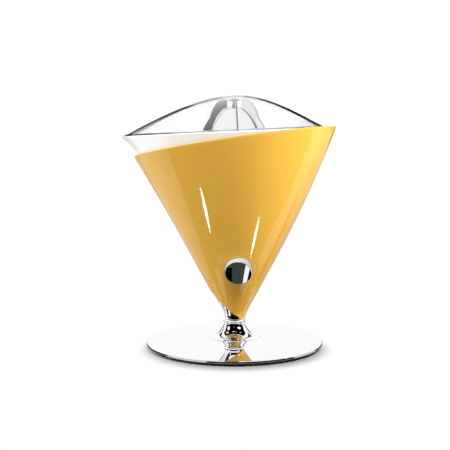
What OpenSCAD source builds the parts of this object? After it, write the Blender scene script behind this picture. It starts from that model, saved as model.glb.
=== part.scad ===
// Electric citrus juicer: a slender cone on a disc base, wrapped in a coloured sleeve that is cut
// on the slant, with a pouring bowl, a strainer, a finned reamer and a clear lid on top.
// Origin on the body's axis at table level, +Z up, button towards -Y, pouring spout towards -X.

/* [Base] */
// Radius of the base disc
base_r = 100; // [90:1:130]
// Thickness of the base disc at its rim
base_rim_t = 2.8; // [2.4:0.1:5]
// Rise of the base disc from its rim to the pedestal
base_rise = 4.6; // [3:0.1:8]
// Sheet thickness of the base disc
base_sheet_t = 2; // [1.2:0.1:2.4]
// Width of the solid band inside the rim
base_band_w = 18; // [14:1:24]
// Height of the rubber ring that the base stands on
foot_h = 3.4; // [3:0.1:6]
// Width of the rubber ring
foot_w = 8; // [5:0.5:10]
// Depth of the groove that holds the rubber ring
foot_groove = 0.8; // [0.4:0.1:1.2]
// Thickness of the bottom cover
cover_t = 1.2; // [0.8:0.1:2]
// Distance of the cover screws from the edge of the cover
cover_screw_inset = 22; // [15:1:30]
// Width of the lead gland at the rear of the rim
gland_w = 9; // [7:0.5:14]
// Height of the lead gland
gland_h = 3.1; // [2.8:0.1:3.6]
// Radius of the lead hole through the gland
gland_hole_r = 1.1; // [0.8:0.1:1.2]
// Height of the gland's middle above the underside of the disc
gland_mid_h = 0.4; // [0.2:0.1:0.6]

/* [Pedestal and neck] */
// Radius of the pedestal's flange on the base disc
pedestal_r = 30.5; // [26:0.5:40]
// Radius of the pedestal's cone at its foot
pedestal_cone_r = 20; // [17:0.5:24]
// Radius of the pedestal at its top
pedestal_top_r = 11.3; // [10.5:0.1:14]
// Height of the pedestal above the base disc
pedestal_h = 15.1; // [12:0.1:24]
// Thickness of the pedestal's flange at its edge
pedestal_edge_t = 0.5; // [0.3:0.1:1]
// Length of the curve from the flange into the cone
pedestal_curve = 5; // [2:0.5:8]
// Radius of the bright ring at the neck
neck_ring_r = 12.4; // [12.2:0.1:15]
// Height of the bright ring at the neck
neck_ring_h = 4.9; // [3:0.1:10]
// Bulge of the bright ring at half its height
neck_ring_bulge = 0.7; // [0.2:0.1:1]
// Wall of the nut that clamps the body to the pedestal
nut_wall = 3; // [2.5:0.1:3.5]
// Height of that nut
nut_h = 5; // [4:0.5:8]
// Wall of the hollow spigot that the nut screws on
spigot_wall = 1.6; // [1.2:0.1:2]
// Length of the spigot above the nut
spigot_over = 2; // [1:0.5:4]
// Room around the nut in the chassis
nut_room = 0.5; // [0.3:0.1:1]
// Distance of the pedestal's screws inside the foot of its cone
pedestal_screw_inset = 6; // [5:0.5:8]
// Depth of the pedestal's screws in it
pedestal_screw_depth = 5; // [4:0.5:6]

/* [Body] */
// Radius of the sleeve at the neck
neck_r = 11.9; // [11.5:0.1:12.1]
// Radius of the straight cone carried down to the neck ring
tip_r = 9.5; // [8.5:0.1:10.5]
// Widening of the cone for each millimetre of height at the neck
flare = 0.548; // [0.5:0.002:0.6]
// Loss of that widening over the height, per millimetre
bow = 0.00013; // [0:0.00001:0.0003]
// Height above the neck ring where the cone starts to lean
lean_h = 69; // [50:1:100]
// Lean of the cone towards the spout at the height of the rim
lean = 9; // [0:0.5:11]
// Wall of the chrome cone under the sleeve
cone_t = 1.5; // [1.2:0.1:2]
// Floor of the chrome cone
cone_floor_t = 7.2; // [5:0.1:10]
// Room between the chrome cone and the button guide above it
cone_room = 7.9; // [2:0.1:12]
// Wall of the inner chassis
chassis_t = 2.2; // [1.8:0.1:3]
// Distance from the body's skin to the chassis behind it
chassis_inset = 8; // [7:0.5:10]
// Height over which the chassis steps in above the chrome cone
chassis_step_h = 5; // [3:0.5:8]
// Width of the flange inside the chassis's wall at its top
chassis_flange_w = 8; // [8:0.5:14]
// Thickness of that flange
chassis_flange_t = 5; // [4:0.5:8]

/* [Outer sleeve] */
// Wall of the sleeve
wrap_t = 1.6; // [1.2:0.1:2.4]
// Room between the sleeve and the chrome cone
wrap_gap = 0.3; // [0.3:0.05:0.6]
// Direction in which both slanted cuts lie, in degrees
wrap_turn = -27; // [-60:1:30]
// Slope of the upper cut
wrap_slope = 0.157; // [0:0.005:0.2]
// Depth of the upper cut below the bowl's rim, on the axis
wrap_drop = 12.2; // [6:0.1:20]
// Overlap of the sleeve on the chrome cone at the top of the lower cut
wrap_lap = 1.9; // [1:0.1:6]
// Room between the sleeve's lowest point and the neck ring
wrap_low_gap = 0.4; // [0.3:0.1:2]

/* [Button] */
// Radius of the push button
button_r = 14.8; // [12:0.1:16]
// Height above the neck ring at which the button's axis meets the skin
button_h = 63.2; // [58:0.1:70]
// Room around the button in the sleeve
button_gap = 0.35; // [0.3:0.05:0.8]
// Height of the button's flat face above the sleeve's skin
button_rise = 7.5; // [3:0.1:9]
// Rounding of the edge of the button's face
button_edge = 0.4; // [0.2:0.1:1]
// Travel of the button
button_travel = 2; // [1:0.1:3]
// Wire of the button's spring
button_wire = 0.8; // [0.6:0.1:1]
// Turns of the button's spring
button_turns = 4; // [3:1:5]
// Wall of the guide's tube
guide_wall = 2; // [1.5:0.1:2.4]
// Radius of the button's stem
stem_r = 4; // [3:0.1:5]
// Width of the flange of the button guide beyond the button
guide_lap = 1.8; // [1.5:0.1:2.5]
// Thickness of the flange of the button guide
guide_t = 3; // [2:0.1:4]
// Length of the guide's tube behind its flange
guide_tube_h = 8; // [7:0.5:12]
// Width of the power switch
switch_w = 17.6; // [16:0.1:20]
// Depth of the power switch
switch_d = 8; // [6:0.5:12]
// Height of the power switch
switch_h = 10; // [8:0.5:14]
// Radius of the power switch's plunger
switch_plunger_r = 2; // [1.5:0.1:2.5]
// Wall of the two arms that hold the power switch
switch_arm_t = 2; // [1.5:0.1:3]
// Height of the control board above the chassis floor
board_h = 22; // [16:0.5:26]
// Thickness of the control board
board_t = 1.6; // [1:0.1:2]
// Height of the relay on the control board
relay_h = 6; // [4:0.5:8]
// Height of the capacitor on the control board
capacitor_h = 8; // [5:0.5:10]

/* [Motor and gears] */
// Room between the power switch and the motor
motor_room = 1.6; // [1:0.1:8]
// Radius of the motor can
motor_r = 27; // [24:0.5:32]
// Length of the motor with its end cap
motor_len = 54.5; // [48:0.5:62]
// Wall of the motor can
motor_wall = 1.2; // [0.8:0.1:2]
// Thickness of the motor's end cap
motor_cap_t = 6; // [5:0.5:8]
// Room between the windings and the ends of the motor
winding_room = 1.9; // [1:0.1:4]
// Air gap between rotor and stator
air_gap = 0.5; // [0.3:0.1:1]
// Radial depth of the stator stack
stator_depth = 13; // [10:0.1:14]
// Radius of the motor's shaft
rotor_shaft_r = 2.5; // [2:0.1:3]
// Wall of the bronze bushes
bush_wall = 2.4; // [1.6:0.1:3]
// Thickness of the gearbox plate
plate_t = 3; // [2:0.1:5]
// Height between the gearbox plate and the deck
gear_room = 17.5; // [17:0.1:24]
// Gear module
gear_module = 0.8; // [0.7:0.05:0.85]
// Teeth of both pinions
pinion_teeth = 17; // [17:1:21]
// Teeth of both wheels
wheel_teeth = 63; // [55:2:65]
// Backlash of a gear pair
backlash = 0.16; // [0.1:0.02:0.3]
// Width of the first pair of gears
gear_w = 5; // [4:0.1:5.4]
// Radius of the idler's pin
idler_pin_r = 2.5; // [2:0.1:3]
// Radius of the posts between deck and gearbox plate
post_r = 4; // [3.4:0.1:6]
// Depth of the plate's screws in the posts
post_screw_depth = 8; // [6:0.5:12]
// Width of the gearbox plate beyond the idler's wheel
plate_margin = 4; // [3:0.5:8]
// Distance of the motor's screws inside its can
motor_screw_inset = 6; // [5:0.5:8]
// Floor left under the motor's screws in its end cap
cap_floor_t = 1; // [0.6:0.1:2]
// Length of the bronze bushes
bush_len = 4; // [3:0.5:5]
// Height of the winding's end turns
winding_h = 5; // [3:0.5:6]

/* [Drive] */
// Thickness of the deck
deck_t = 3; // [2.4:0.1:5]
// Radius of the tube on the deck
tube_r = 13; // [12.4:0.1:15]
// Height of the tube above the deck
tube_h = 29.5; // [28:0.5:36]
// Radius of the drive shaft
shaft_r = 4; // [3.5:0.1:4.5]
// Downward travel of the shaft that starts the motor
press_travel = 2; // [1:0.1:2.2]
// Radius of the sliding bearing in the tube
bearing_r = 10; // [9.4:0.1:10.6]
// Height of the sliding bearing
bearing_h = 8; // [6:0.5:10]
// Thickness of the shaft seal
seal_t = 3; // [2:0.1:4]
// Thickness of the collar on the shaft
collar_t = 1.5; // [1:0.1:2]
// Width of the collar and of the circlip beyond the shaft
collar_w = 2; // [1.4:0.1:2.4]
// Thickness of the circlip
circlip_t = 1; // [0.8:0.1:1.4]
// Height of the ledge that the shaft spring stands on
ledge_h = 4; // [3.5:0.5:6]
// Wire of the shaft spring
spring_wire = 1.2; // [0.8:0.1:1.4]
// Turns of the shaft spring
spring_turns = 5; // [4:1:6]
// Height of the start switch on the gearbox plate
start_switch_h = 5.4; // [4:0.1:5.6]
// Length of the start switch
start_switch_w = 12; // [10:0.5:14]
// Width of the start switch
start_switch_d = 6; // [5:0.5:8]
// Distance of the start switch inside the output wheel's pitch circle
start_switch_inset = 7; // [6:0.5:10]
// Radius of the start switch's plunger
start_plunger_r = 1.2; // [1:0.1:1.5]

/* [Bowl and strainer] */
// Height of the bowl's rim above its floor
bowl_depth = 49.2; // [44:0.1:58]
// Wall of the bowl
bowl_t = 2.2; // [1.8:0.1:3]
// Distance from the body's skin to the bowl
bowl_inset = 5.5; // [5:0.1:7]
// Slope of the bowl's rim, rising away from the spout
rim_tilt = 0.0438; // [0:0.002:0.06]
// Thickness of the ledge that carries the lid
ledge_t = 2.5; // [2:0.1:4]
// Reach of the pouring lip beyond the bowl's wall
spout_lip = 6.5; // [3:0.1:10]
// Height over which the pouring lip flares
spout_rise = 15; // [10:0.5:20]
// Narrowness of the pouring spout
spout_power = 12; // [6:2:24]
// Wall of the bowl's central tube
hub_wall = 2.4; // [1.8:0.1:3]
// Height of the bowl's central tube above the deck's tube
hub_over = 3; // [2:0.1:4]
// Height of the bowl's foot ring
bowl_foot_h = 2.4; // [2.2:0.1:4]
// Radius of the bowl's foot ring
bowl_foot_r = 60; // [50:1:68]
// Height of the strainer above the bowl's floor
strainer_h = 28; // [24:0.5:31]
// Thickness of the strainer
strainer_t = 1.5; // [1.2:0.1:2]
// Height of the strainer's collars
strainer_collar_h = 4; // [3:0.5:5]
// Width of the strainer's slots
slot_w = 2; // [1.4:0.1:2.6]
// Slots in each ring of the strainer
slot_count = 36; // [24:2:40]
// Plain band between the strainer's slots and its collars
slot_land = 7; // [5:0.5:9]
// Plain band between the two rings of slots
slot_band = 4; // [3:0.5:6]

/* [Reamer] */
// Radius of the reamer's skirt
reamer_r = 39.5; // [36:0.5:42]
// Height of the reamer to the top of its fins
reamer_h = 50.8; // [48:0.1:50.8]
// Height of the reamer's dome
dome_h = 41.6; // [36:0.1:42]
// Radius of the dome at its waist
dome_r = 27.4; // [25:0.1:30]
// Radius of the flat on top of the dome
dome_flat_r = 13.1; // [10:0.1:16]
// Height of the rounded edge around that flat
dome_edge = 2; // [1:0.1:3]
// Thickness of the reamer's skirt at its edge
skirt_t = 1; // [0.8:0.1:1.5]
// Thickness of a fin
fin_t = 1.4; // [1.2:0.1:2]
// Number of fins
fin_count = 4; // [4:2:8]
// Inset of the fins' feet from the edge of the skirt
fin_inset = 1.5; // [1:0.1:3]
// Height of the fins' flanks above the skirt's underside
fin_side_h = 32; // [28:0.5:34]
// Reach of the fins at the top of their flanks
fin_shoulder_r = 28.1; // [24:0.1:32]
// Reach of the fins' flat tops
fin_top_r = 13.7; // [8:0.1:18]
// Bulge of the fins' flanks
fin_bulge = 1.2; // [0.4:0.1:2]
// Room between the strainer's collar and the reamer
reamer_gap = 2; // [1.5:0.1:3]
// Room left under the reamer when it is pressed down
reamer_clear = 2.3; // [1.5:0.1:3]
// Radius of the reamer's core at its top
core_top_r = 11; // [9:0.5:12]
// Widening of the reamer's core at its foot beyond the dome
core_flare = 1; // [0.5:0.1:2]
// Height of the reamer's core above the shaft's end
core_over = 2; // [1.5:0.1:4]
// Distance from the shaft's end to the top of the dome
shaft_to_dome = 10; // [8:0.5:14]

/* [Lid] */
// Height of the lid above the bowl's rim
lid_h = 40.3; // [40:0.1:48]
// Wall of the lid
lid_t = 2.2; // [1.8:0.1:2.4]
// Step from the bowl's rim to the lid's edge
lid_step = 5; // [4:0.1:8]
// Step from the pouring lip to the lid over it
lid_beak_step = 1; // [0.5:0.1:3]
// Height of the lid's edge
lid_edge = 1.6; // [1.2:0.1:3]
// Steepness of the lid's skirt
lid_slope = 0.65; // [0.6:0.01:0.7]
// Depth of the lip that centres the lid in the bowl
lid_lip = 2.5; // [2:0.1:4]
// Width of the ledge under the lid's edge
lid_seat_w = 2.6; // [2:0.1:4]
// Room under the lid's edge
lid_rest_gap = 0.2; // [0.1:0.05:0.4]

/* [Fasteners and clearances] */
// Radius of the screws' shanks
screw_r = 1.4; // [1:0.1:1.5]
// Radius of the screws' heads
screw_head_r = 2.6; // [2.4:0.1:3]
// Height of the screws' heads
screw_head_h = 1.6; // [1:0.1:1.8]
// Room past the tip of a screw in its hole
screw_spare = 0.3; // [0.2:0.1:0.6]
// Radial play of a running fit
run_gap = 0.05; // [0.02:0.01:0.08]
// Play of pieces that are fixed together
seat_gap = 0.05; // [0.02:0.01:0.1]
// Play of loose pieces that lift out
loose_gap = 0.3; // [0.3:0.05:0.6]
// Wall around a screw's hole
boss_wall = 2; // [1.5:0.1:3]
// Room between faces that turn or slide past each other
face_gap = 0.6; // [0.4:0.1:0.8]

/* [Hidden] */
$fn = 96;
over = 1;
edge_break = 0.6;
blend_power = 8;
sleeve_sides = 96;
shell_sides = 72;

// Heights, stacked from the table up to the button
base_z = foot_h;
rim_top_z = base_z + base_rim_t;
base_top_z = rim_top_z + base_rise;
neck_z = base_top_z + pedestal_h;
body_z = neck_z + neck_ring_h;
chassis_z = body_z + cone_floor_t;
nut_z = chassis_z + chassis_t;
spigot_top_z = nut_z + nut_h + spigot_over;
button_z = body_z + button_h;

// The body's skin: a cone that runs into the neck's cylinder, on an axis that leans to the spout
function body_line(z) = tip_r + flare * (z - body_z) - bow * pow(z - body_z, 2);
function body_r(z) =
    pow(pow(neck_r, blend_power) + pow(max(1, body_line(z)), blend_power), 1 / blend_power);

// The button's axis stands square on the skin, and its pieces lie at depths under the skin along it
button_tilt = atan(flare - 2 * bow * button_h);
skin_r = body_r(button_z) / cos(button_tilt);
guide_r = button_r + guide_lap;
button_back_at = skin_r - sqrt(pow(skin_r, 2) - pow(button_r, 2)) + wrap_t;
guide_front_at = button_back_at + button_travel + face_gap;
guide_back_at = guide_front_at + guide_t;
guide_end_at = guide_back_at + guide_tube_h;
spring_seat_at = guide_back_at + guide_tube_h / 2;
switch_at = guide_end_at + button_travel + 2 * face_gap;
button_spring_r = stem_r + button_wire / 2 + face_gap + run_gap;
guide_bore_r = button_spring_r + button_wire / 2 + face_gap;
guide_tube_r = guide_bore_r + guide_wall;
cone_top_z = button_z + guide_front_at * sin(button_tilt) - guide_r * cos(button_tilt) - cone_room;

// Heights from the motor up
switch_top_z = button_z + (switch_at + switch_d) * sin(button_tilt) + switch_h / 2 * cos(button_tilt);
motor_z = switch_top_z + motor_room;
motor_cap_z = motor_z + motor_len - motor_cap_t;
plate_z = motor_z + motor_len;
gear_z = plate_z + plate_t;
deck_z = gear_z + gear_room;
deck_top_z = deck_z + deck_t;
tube_top_z = deck_top_z + tube_h;
bowl_z = deck_top_z + bowl_foot_h + seat_gap;
bowl_floor_z = bowl_z + bowl_t;
rim_z = bowl_z + bowl_depth;
hub_top_z = tube_top_z + hub_over;
strainer_z = bowl_z + strainer_h;
reamer_z = hub_top_z + press_travel + reamer_clear;

// The skin's axis, and the pieces that lie behind the skin
function body_x(z) =
    -lean * pow(max(0, z - body_z - lean_h) / (rim_z - body_z - lean_h), 2);
function cone_out(z) = body_r(z) - wrap_t - wrap_gap;
function cone_in(z) = cone_out(z) - cone_t;
function chassis_out(z) =
    z <= cone_top_z ? cone_in(z) - seat_gap : body_r(z) - chassis_inset;

// The nut and the spigot fill what the chassis leaves free at the neck
nut_r = chassis_out(nut_z) - chassis_t - nut_room;
spigot_r = nut_r - nut_wall;
lead_bore_r = spigot_r - spigot_wall;

// The base disc's top: a shallow dome outside the pedestal's flange
function base_top(r) =
    base_top_z - base_rise * (pow(r, 2) - pow(pedestal_r, 2)) / (pow(base_r, 2) - pow(pedestal_r, 2));
base_hollow_r = base_r - base_band_w;
foot_mid_r = base_r - base_band_w / 2;
cover_screw_r = base_hollow_r - cover_screw_inset;
cover_boss_r = screw_r + boss_wall;
cover_boss_z = base_z + cover_t + seat_gap;
cover_screw_length = base_top(cover_screw_r) - base_sheet_t - base_z;
gland_z = base_z + gland_mid_h - gland_h / 2;
cover_screw_turns = [45, 135, 225, 315];
pedestal_screw_r = pedestal_cone_r - pedestal_screw_inset;
pedestal_screw_turns = [90, 210, 330];

// The sleeve's two slanted cuts, each a plane through the body
wrap_low_z = body_z + wrap_low_gap;
wrap_high_z = cone_top_z - wrap_lap;
wrap_fall = (wrap_high_z - wrap_low_z) / (body_r(wrap_high_z) + body_r(wrap_low_z));
wrap_low_mid_z = wrap_low_z + wrap_fall * body_r(wrap_low_z);
wrap_top_z = rim_z - wrap_drop;
function cut_z(mid_z, slope, inset, turn, z, steps) =
    steps == 0 ? z
    : cut_z(mid_z, slope, inset, turn,
        mid_z + slope * (body_x(z) * cos(wrap_turn) + (body_r(z) - inset) * cos(turn - wrap_turn)),
        steps - 1);
cut_steps = 24;

// Gear train: motor pinion, idler wheel and pinion, output wheel on the motor's axis
function pitch_r(teeth) = gear_module * teeth / 2;
idler_x = pitch_r(pinion_teeth) + pitch_r(wheel_teeth);
first_gear_z = gear_z + 2 * face_gap;
second_gear_z = first_gear_z + gear_w;
shaft_bottom_z = second_gear_z + press_travel + face_gap;
output_gear_z = shaft_bottom_z + face_gap;
idler_top_z = deck_z - face_gap;
plate_r = idler_x + pitch_r(wheel_teeth) + plate_margin;
post_circle = plate_r - post_r;
post_turns = [60, 150, 240, 330];
flange_z = deck_z - chassis_flange_t;
flange_out_r = chassis_out(flange_z) - chassis_t;
deck_screw_circle = flange_out_r - chassis_flange_w / 2;
deck_screw_turns = [15, 105, 195, 285];
motor_screw_circle = motor_r - motor_screw_inset;
motor_screw_turns = [90, 270];
stator_r = motor_r - motor_wall - seat_gap;
stator_len = motor_len - bush_len - motor_cap_t - 2 * (winding_h + winding_room + seat_gap);
stator_z = motor_z + bush_len + winding_h + winding_room + seat_gap;

// Drive shaft, from the output gear up through the tube into the reamer
ledge_top_z = deck_z + ledge_h;
seal_z = tube_top_z - seal_t;
collar_z = seal_z - loose_gap - collar_t;
bearing_z = collar_z - seat_gap - bearing_h;
circlip_z = bearing_z - circlip_t - seat_gap;
shaft_spring_r = bearing_r - spring_wire / 2 - face_gap;
shaft_hex_z = tube_top_z + over;
shaft_top_z = reamer_z + dome_h - shaft_to_dome;
core_foot_r = dome_r + core_flare;
core_top_z = shaft_top_z + core_over;

// Bowl, strainer and lid share the leaning axis, the tilted rim plane and the spout's outline
function spout(turn) = pow(max(0, -cos(turn)), spout_power);
bowl_rim_r = body_r(rim_z) - bowl_inset;
lid_r = bowl_rim_r - lid_step;
lid_beak = spout_lip - lid_beak_step;
function rim_plane(x) = rim_z + rim_tilt * x;
function bowl_rim_at(turn) =
    rim_plane(body_x(rim_z) + (bowl_rim_r + spout_lip * spout(turn)) * cos(turn));
function bowl_out(z, turn) =
    body_r(z) - bowl_inset
    + spout_lip * spout(turn) * pow(max(0, 1 - (bowl_rim_at(turn) - z) / spout_rise), 2);
function bowl_point(z, inset, turn) =
    [body_x(z) + (bowl_out(z, turn) - inset) * cos(turn), (bowl_out(z, turn) - inset) * sin(turn), z];
function lid_point(share, turn, h) =
    let (r = lid_r + lid_beak * spout(turn), x = share * (body_x(rim_z) + r * cos(turn)))
    [x, share * r * sin(turn), rim_plane(x) + h];
lid_rise = lid_h - lid_edge;
lid_bend = (pow(lid_slope * lid_r, 2) - pow(lid_rise, 2)) / (2 * lid_rise);
function lid_top(share) =
    lid_h + lid_bend - sqrt(pow(lid_slope * lid_r * share, 2) + pow(lid_bend, 2));
ledge_share = 1 - lid_seat_w / lid_r;
lip_share = ledge_share - 2 * loose_gap / lid_r;
lip_in_share = lip_share - lid_t / lid_r;
hub_r = tube_r + loose_gap;
strainer_hole_r = reamer_r + reamer_gap;
function strainer_r(z) = body_r(z) - bowl_inset - bowl_t - loose_gap;

// Point lists and solids that several pieces share
function turns(sides) = [for (i = [0 : sides - 1]) 360 * i / sides];
function shares(count) = [for (i = [0 : count]) i / count];
function bezier(a, b, c) = [for (t = shares(8)) a * pow(1 - t, 2) + b * 2 * t * (1 - t) + c * t * t];
function flat(list) = [for (part = list) each part];

// Skin through closed rings of points, the last ring joined back to the first
module ring_loft(rings) {
    sides = len(rings[0]);
    count = len(rings);
    faces = [
        for (i = [0 : count - 1], j = [0 : sides - 1])
            let (
                a = i * sides + j,
                b = i * sides + (j + 1) % sides,
                c = ((i + 1) % count) * sides + (j + 1) % sides,
                d = ((i + 1) % count) * sides + j
            )
            each [[a, c, b], [a, d, c]]
    ];
    polyhedron(points = flat(rings), faces = faces, convexity = 8);
}

// Skin through closed rings of points, with a pole before the first and after the last
module pole_loft(first, rings, last) {
    sides = len(rings[0]);
    count = len(rings);
    points = concat([first], flat(rings), [last]);
    body = [
        for (i = [0 : count - 2], j = [0 : sides - 1])
            let (
                a = 1 + i * sides + j,
                b = 1 + i * sides + (j + 1) % sides,
                c = 1 + (i + 1) * sides + (j + 1) % sides,
                d = 1 + (i + 1) * sides + j
            )
            each [[a, c, b], [a, d, c]]
    ];
    ends = [
        for (j = [0 : sides - 1])
            let (end = 1 + (count - 1) * sides)
            each [[0, 1 + j, 1 + (j + 1) % sides], [len(points) - 1, end + (j + 1) % sides, end + j]]
    ];
    polyhedron(points = points, faces = concat(body, ends), convexity = 8);
}

// Round wire wound up the Z axis between two heights
module coil(r, wire, low, high, count) {
    per_turn = 12;
    wire_sides = 6;
    steps = per_turn * count;
    rise = (high - low - wire) / steps;
    rings = [
        for (i = [0 : steps])
            let (turn = 360 * i / per_turn, z = low + wire / 2 + rise * i)
            [for (side = turns(wire_sides))
                let (out = r + wire / 2 * cos(side))
                [out * cos(turn), out * sin(turn), z + wire / 2 * sin(side)]]
    ];
    pole_loft([r, 0, low + wire / 2], rings, [r, 0, high - wire / 2]);
}

// Involute spur gear of the shared module, a tooth centred on +X
function involute(angle) = tan(angle) * 180 / PI - angle;
module gear_2d(teeth) {
    pressure = 20;
    addendum = 0.92;
    dedendum = 1.25;
    base = pitch_r(teeth) * cos(pressure);
    tip = pitch_r(teeth) + addendum * gear_module;
    root = pitch_r(teeth) - dedendum * gear_module;
    start = max(base, root);
    half = 90 / teeth - backlash / 4 / pitch_r(teeth) * 180 / PI + involute(pressure);
    flank = [
        for (t = shares(5))
            let (r = start + (tip - start) * t)
            [r, half - involute(acos(base / r))]
    ];
    polygon([
        for (i = [0 : teeth - 1])
            let (middle = 360 * i / teeth, wide = flank[0][1])
            each concat(
                [root * [cos(middle - wide), sin(middle - wide)]],
                [for (f = flank) f[0] * [cos(middle - f[1]), sin(middle - f[1])]],
                [for (k = [len(flank) - 1 : -1 : 0])
                    flank[k][0] * [cos(middle + flank[k][1]), sin(middle + flank[k][1])]],
                [root * [cos(middle + wide), sin(middle + wide)]]
            )
    ]);
}

// Pan-head screw, head below z = 0 and shank above
module screw(length) {
    translate([0, 0, -screw_head_h]) cylinder(r = screw_head_r, h = screw_head_h);
    cylinder(r = screw_r, h = length);
}

module ring(outer, inner, h) {
    difference() {
        cylinder(r = outer, h = h);
        translate([0, 0, -over]) cylinder(r = inner, h = h + 2 * over);
    }
}

module on_circle(r, list) {
    for (turn = list) rotate([0, 0, turn]) translate([r, 0, 0]) children();
}

// Places children on the button's axis, Z pointing into the body from a depth under the skin
module on_button(depth) {
    translate([0, -body_r(button_z), button_z]) rotate([button_tilt - 90, 0, 0])
        translate([0, 0, depth]) children();
}

// Rubber ring that the juicer stands on
module foot_ring() {
    color("#222222") difference() {
        ring(foot_mid_r + foot_w / 2, foot_mid_r - foot_w / 2, foot_h + foot_groove - seat_gap);
        translate([-gland_w / 2 - loose_gap, 0, gland_z - loose_gap])
            cube([gland_w + 2 * loose_gap, base_r, gland_h * 2]);
    }
}

// Heavy chromed disc, hollow underneath
module base_plate() {
    dome = [
        for (t = shares(12))
            let (r = pedestal_r + (base_r - edge_break - pedestal_r) * t)
            [r, base_top(r)]
    ];
    ceiling = [
        for (t = shares(12))
            let (r = base_hollow_r + (pedestal_r - base_hollow_r) * t)
            [r, base_top(r) - base_sheet_t]
    ];
    boss_top_z = base_top(cover_screw_r + cover_boss_r) - edge_break;
    gland_top_z = gland_z + gland_h + seat_gap;
    profile = concat(
        [[lead_bore_r, base_top_z]], dome,
        [[base_r, rim_top_z - edge_break], [base_r, base_z + edge_break], [base_r - edge_break, base_z]],
        [[base_hollow_r, base_z]], ceiling, [[lead_bore_r, base_top_z - base_sheet_t]]
    );
    color("#d8d8dc") difference() {
        union() {
            rotate_extrude() polygon(profile);
            on_circle(cover_screw_r, cover_screw_turns)
                translate([0, 0, cover_boss_z])
                    cylinder(r = cover_boss_r, h = boss_top_z - cover_boss_z);
        }
        translate([0, 0, base_z - over]) ring(
            foot_mid_r + foot_w / 2 + seat_gap,
            foot_mid_r - foot_w / 2 - seat_gap,
            foot_groove + over
        );
        translate([-gland_w / 2 - seat_gap, base_hollow_r - over, base_z - over])
            cube([gland_w + 2 * seat_gap, base_band_w + 2 * over, gland_top_z - base_z + over]);
        on_circle(cover_screw_r, cover_screw_turns)
            translate([0, 0, base_z]) cylinder(r = screw_r + seat_gap, h = cover_screw_length);
        on_circle(pedestal_screw_r, pedestal_screw_turns)
            cylinder(r = screw_r + seat_gap, h = base_top_z + over);
    }
}

// Plastic plate that closes the hollow of the base
module base_cover() {
    color("#2b2b2d") translate([0, 0, base_z]) difference() {
        cylinder(r = base_hollow_r - seat_gap, h = cover_t);
        on_circle(cover_screw_r, cover_screw_turns)
            translate([0, 0, -over]) cylinder(r = screw_r + seat_gap, h = cover_t + 2 * over);
    }
}

module cover_screws() {
    color("#9a9a9e") on_circle(cover_screw_r, cover_screw_turns)
        translate([0, 0, base_z]) screw(cover_screw_length - screw_spare);
}

// Rubber bush for the supply lead, let into the rear of the rim
module lead_gland() {
    color("#1d1d1d") difference() {
        translate([-gland_w / 2, base_hollow_r + seat_gap, gland_z])
            cube([gland_w, base_band_w + edge_break, gland_h]);
        translate([0, base_hollow_r - over, gland_z + gland_h / 2])
            rotate([-90, 0, 0]) cylinder(r = gland_hole_r, h = base_band_w + 3 * over);
    }
}

// Chromed trumpet foot with a hollow threaded spigot
module pedestal() {
    edge_z = base_top_z + pedestal_edge_t;
    rise = [pedestal_top_r - pedestal_cone_r, neck_z - edge_z];
    up = rise / norm(rise);
    corner = [pedestal_cone_r, edge_z];
    curve = bezier(corner + up * pedestal_curve, corner, corner + [pedestal_curve, 0]);
    profile = concat(
        [[lead_bore_r, base_top_z], [lead_bore_r, spigot_top_z], [spigot_r, spigot_top_z]],
        [[spigot_r, neck_z], [pedestal_top_r, neck_z]],
        curve,
        [[pedestal_r, edge_z], [pedestal_r, base_top_z]]
    );
    color("#d8d8dc") difference() {
        rotate_extrude() polygon(profile);
        on_circle(pedestal_screw_r, pedestal_screw_turns)
            translate([0, 0, base_top_z - over])
                cylinder(r = screw_r + seat_gap, h = pedestal_screw_depth + over);
    }
}

module pedestal_screws() {
    color("#9a9a9e") on_circle(pedestal_screw_r, pedestal_screw_turns)
        translate([0, 0, base_top_z - base_sheet_t])
            screw(base_sheet_t + pedestal_screw_depth - screw_spare);
}

// Bright ring between pedestal and body
module neck_ring() {
    side = [for (t = shares(12))
        [neck_ring_r - neck_ring_bulge * pow(2 * t - 1, 2), neck_z + neck_ring_h * t]];
    color("#e4e4e8") rotate_extrude()
        polygon(concat([[spigot_r + seat_gap, body_z], [spigot_r + seat_gap, neck_z]], side));
}

// Chromed cone that shows under the sleeve
module lower_cone() {
    outer = [for (t = shares(16)) let (z = body_z + (cone_top_z - body_z) * t) [cone_out(z), z]];
    inner = [for (t = shares(16)) let (z = cone_top_z + (chassis_z - cone_top_z) * t) [cone_in(z), z]];
    color("#cfcfd4") rotate_extrude()
        polygon(concat([[spigot_r + seat_gap, chassis_z], [spigot_r + seat_gap, body_z]], outer, inner));
}

module neck_nut() {
    color("#b4b4b8") translate([0, 0, nut_z]) difference() {
        cylinder(r = nut_r, h = nut_h, $fn = 6);
        translate([0, 0, -over]) cylinder(r = spigot_r + seat_gap, h = nut_h + 2 * over);
    }
}

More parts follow.
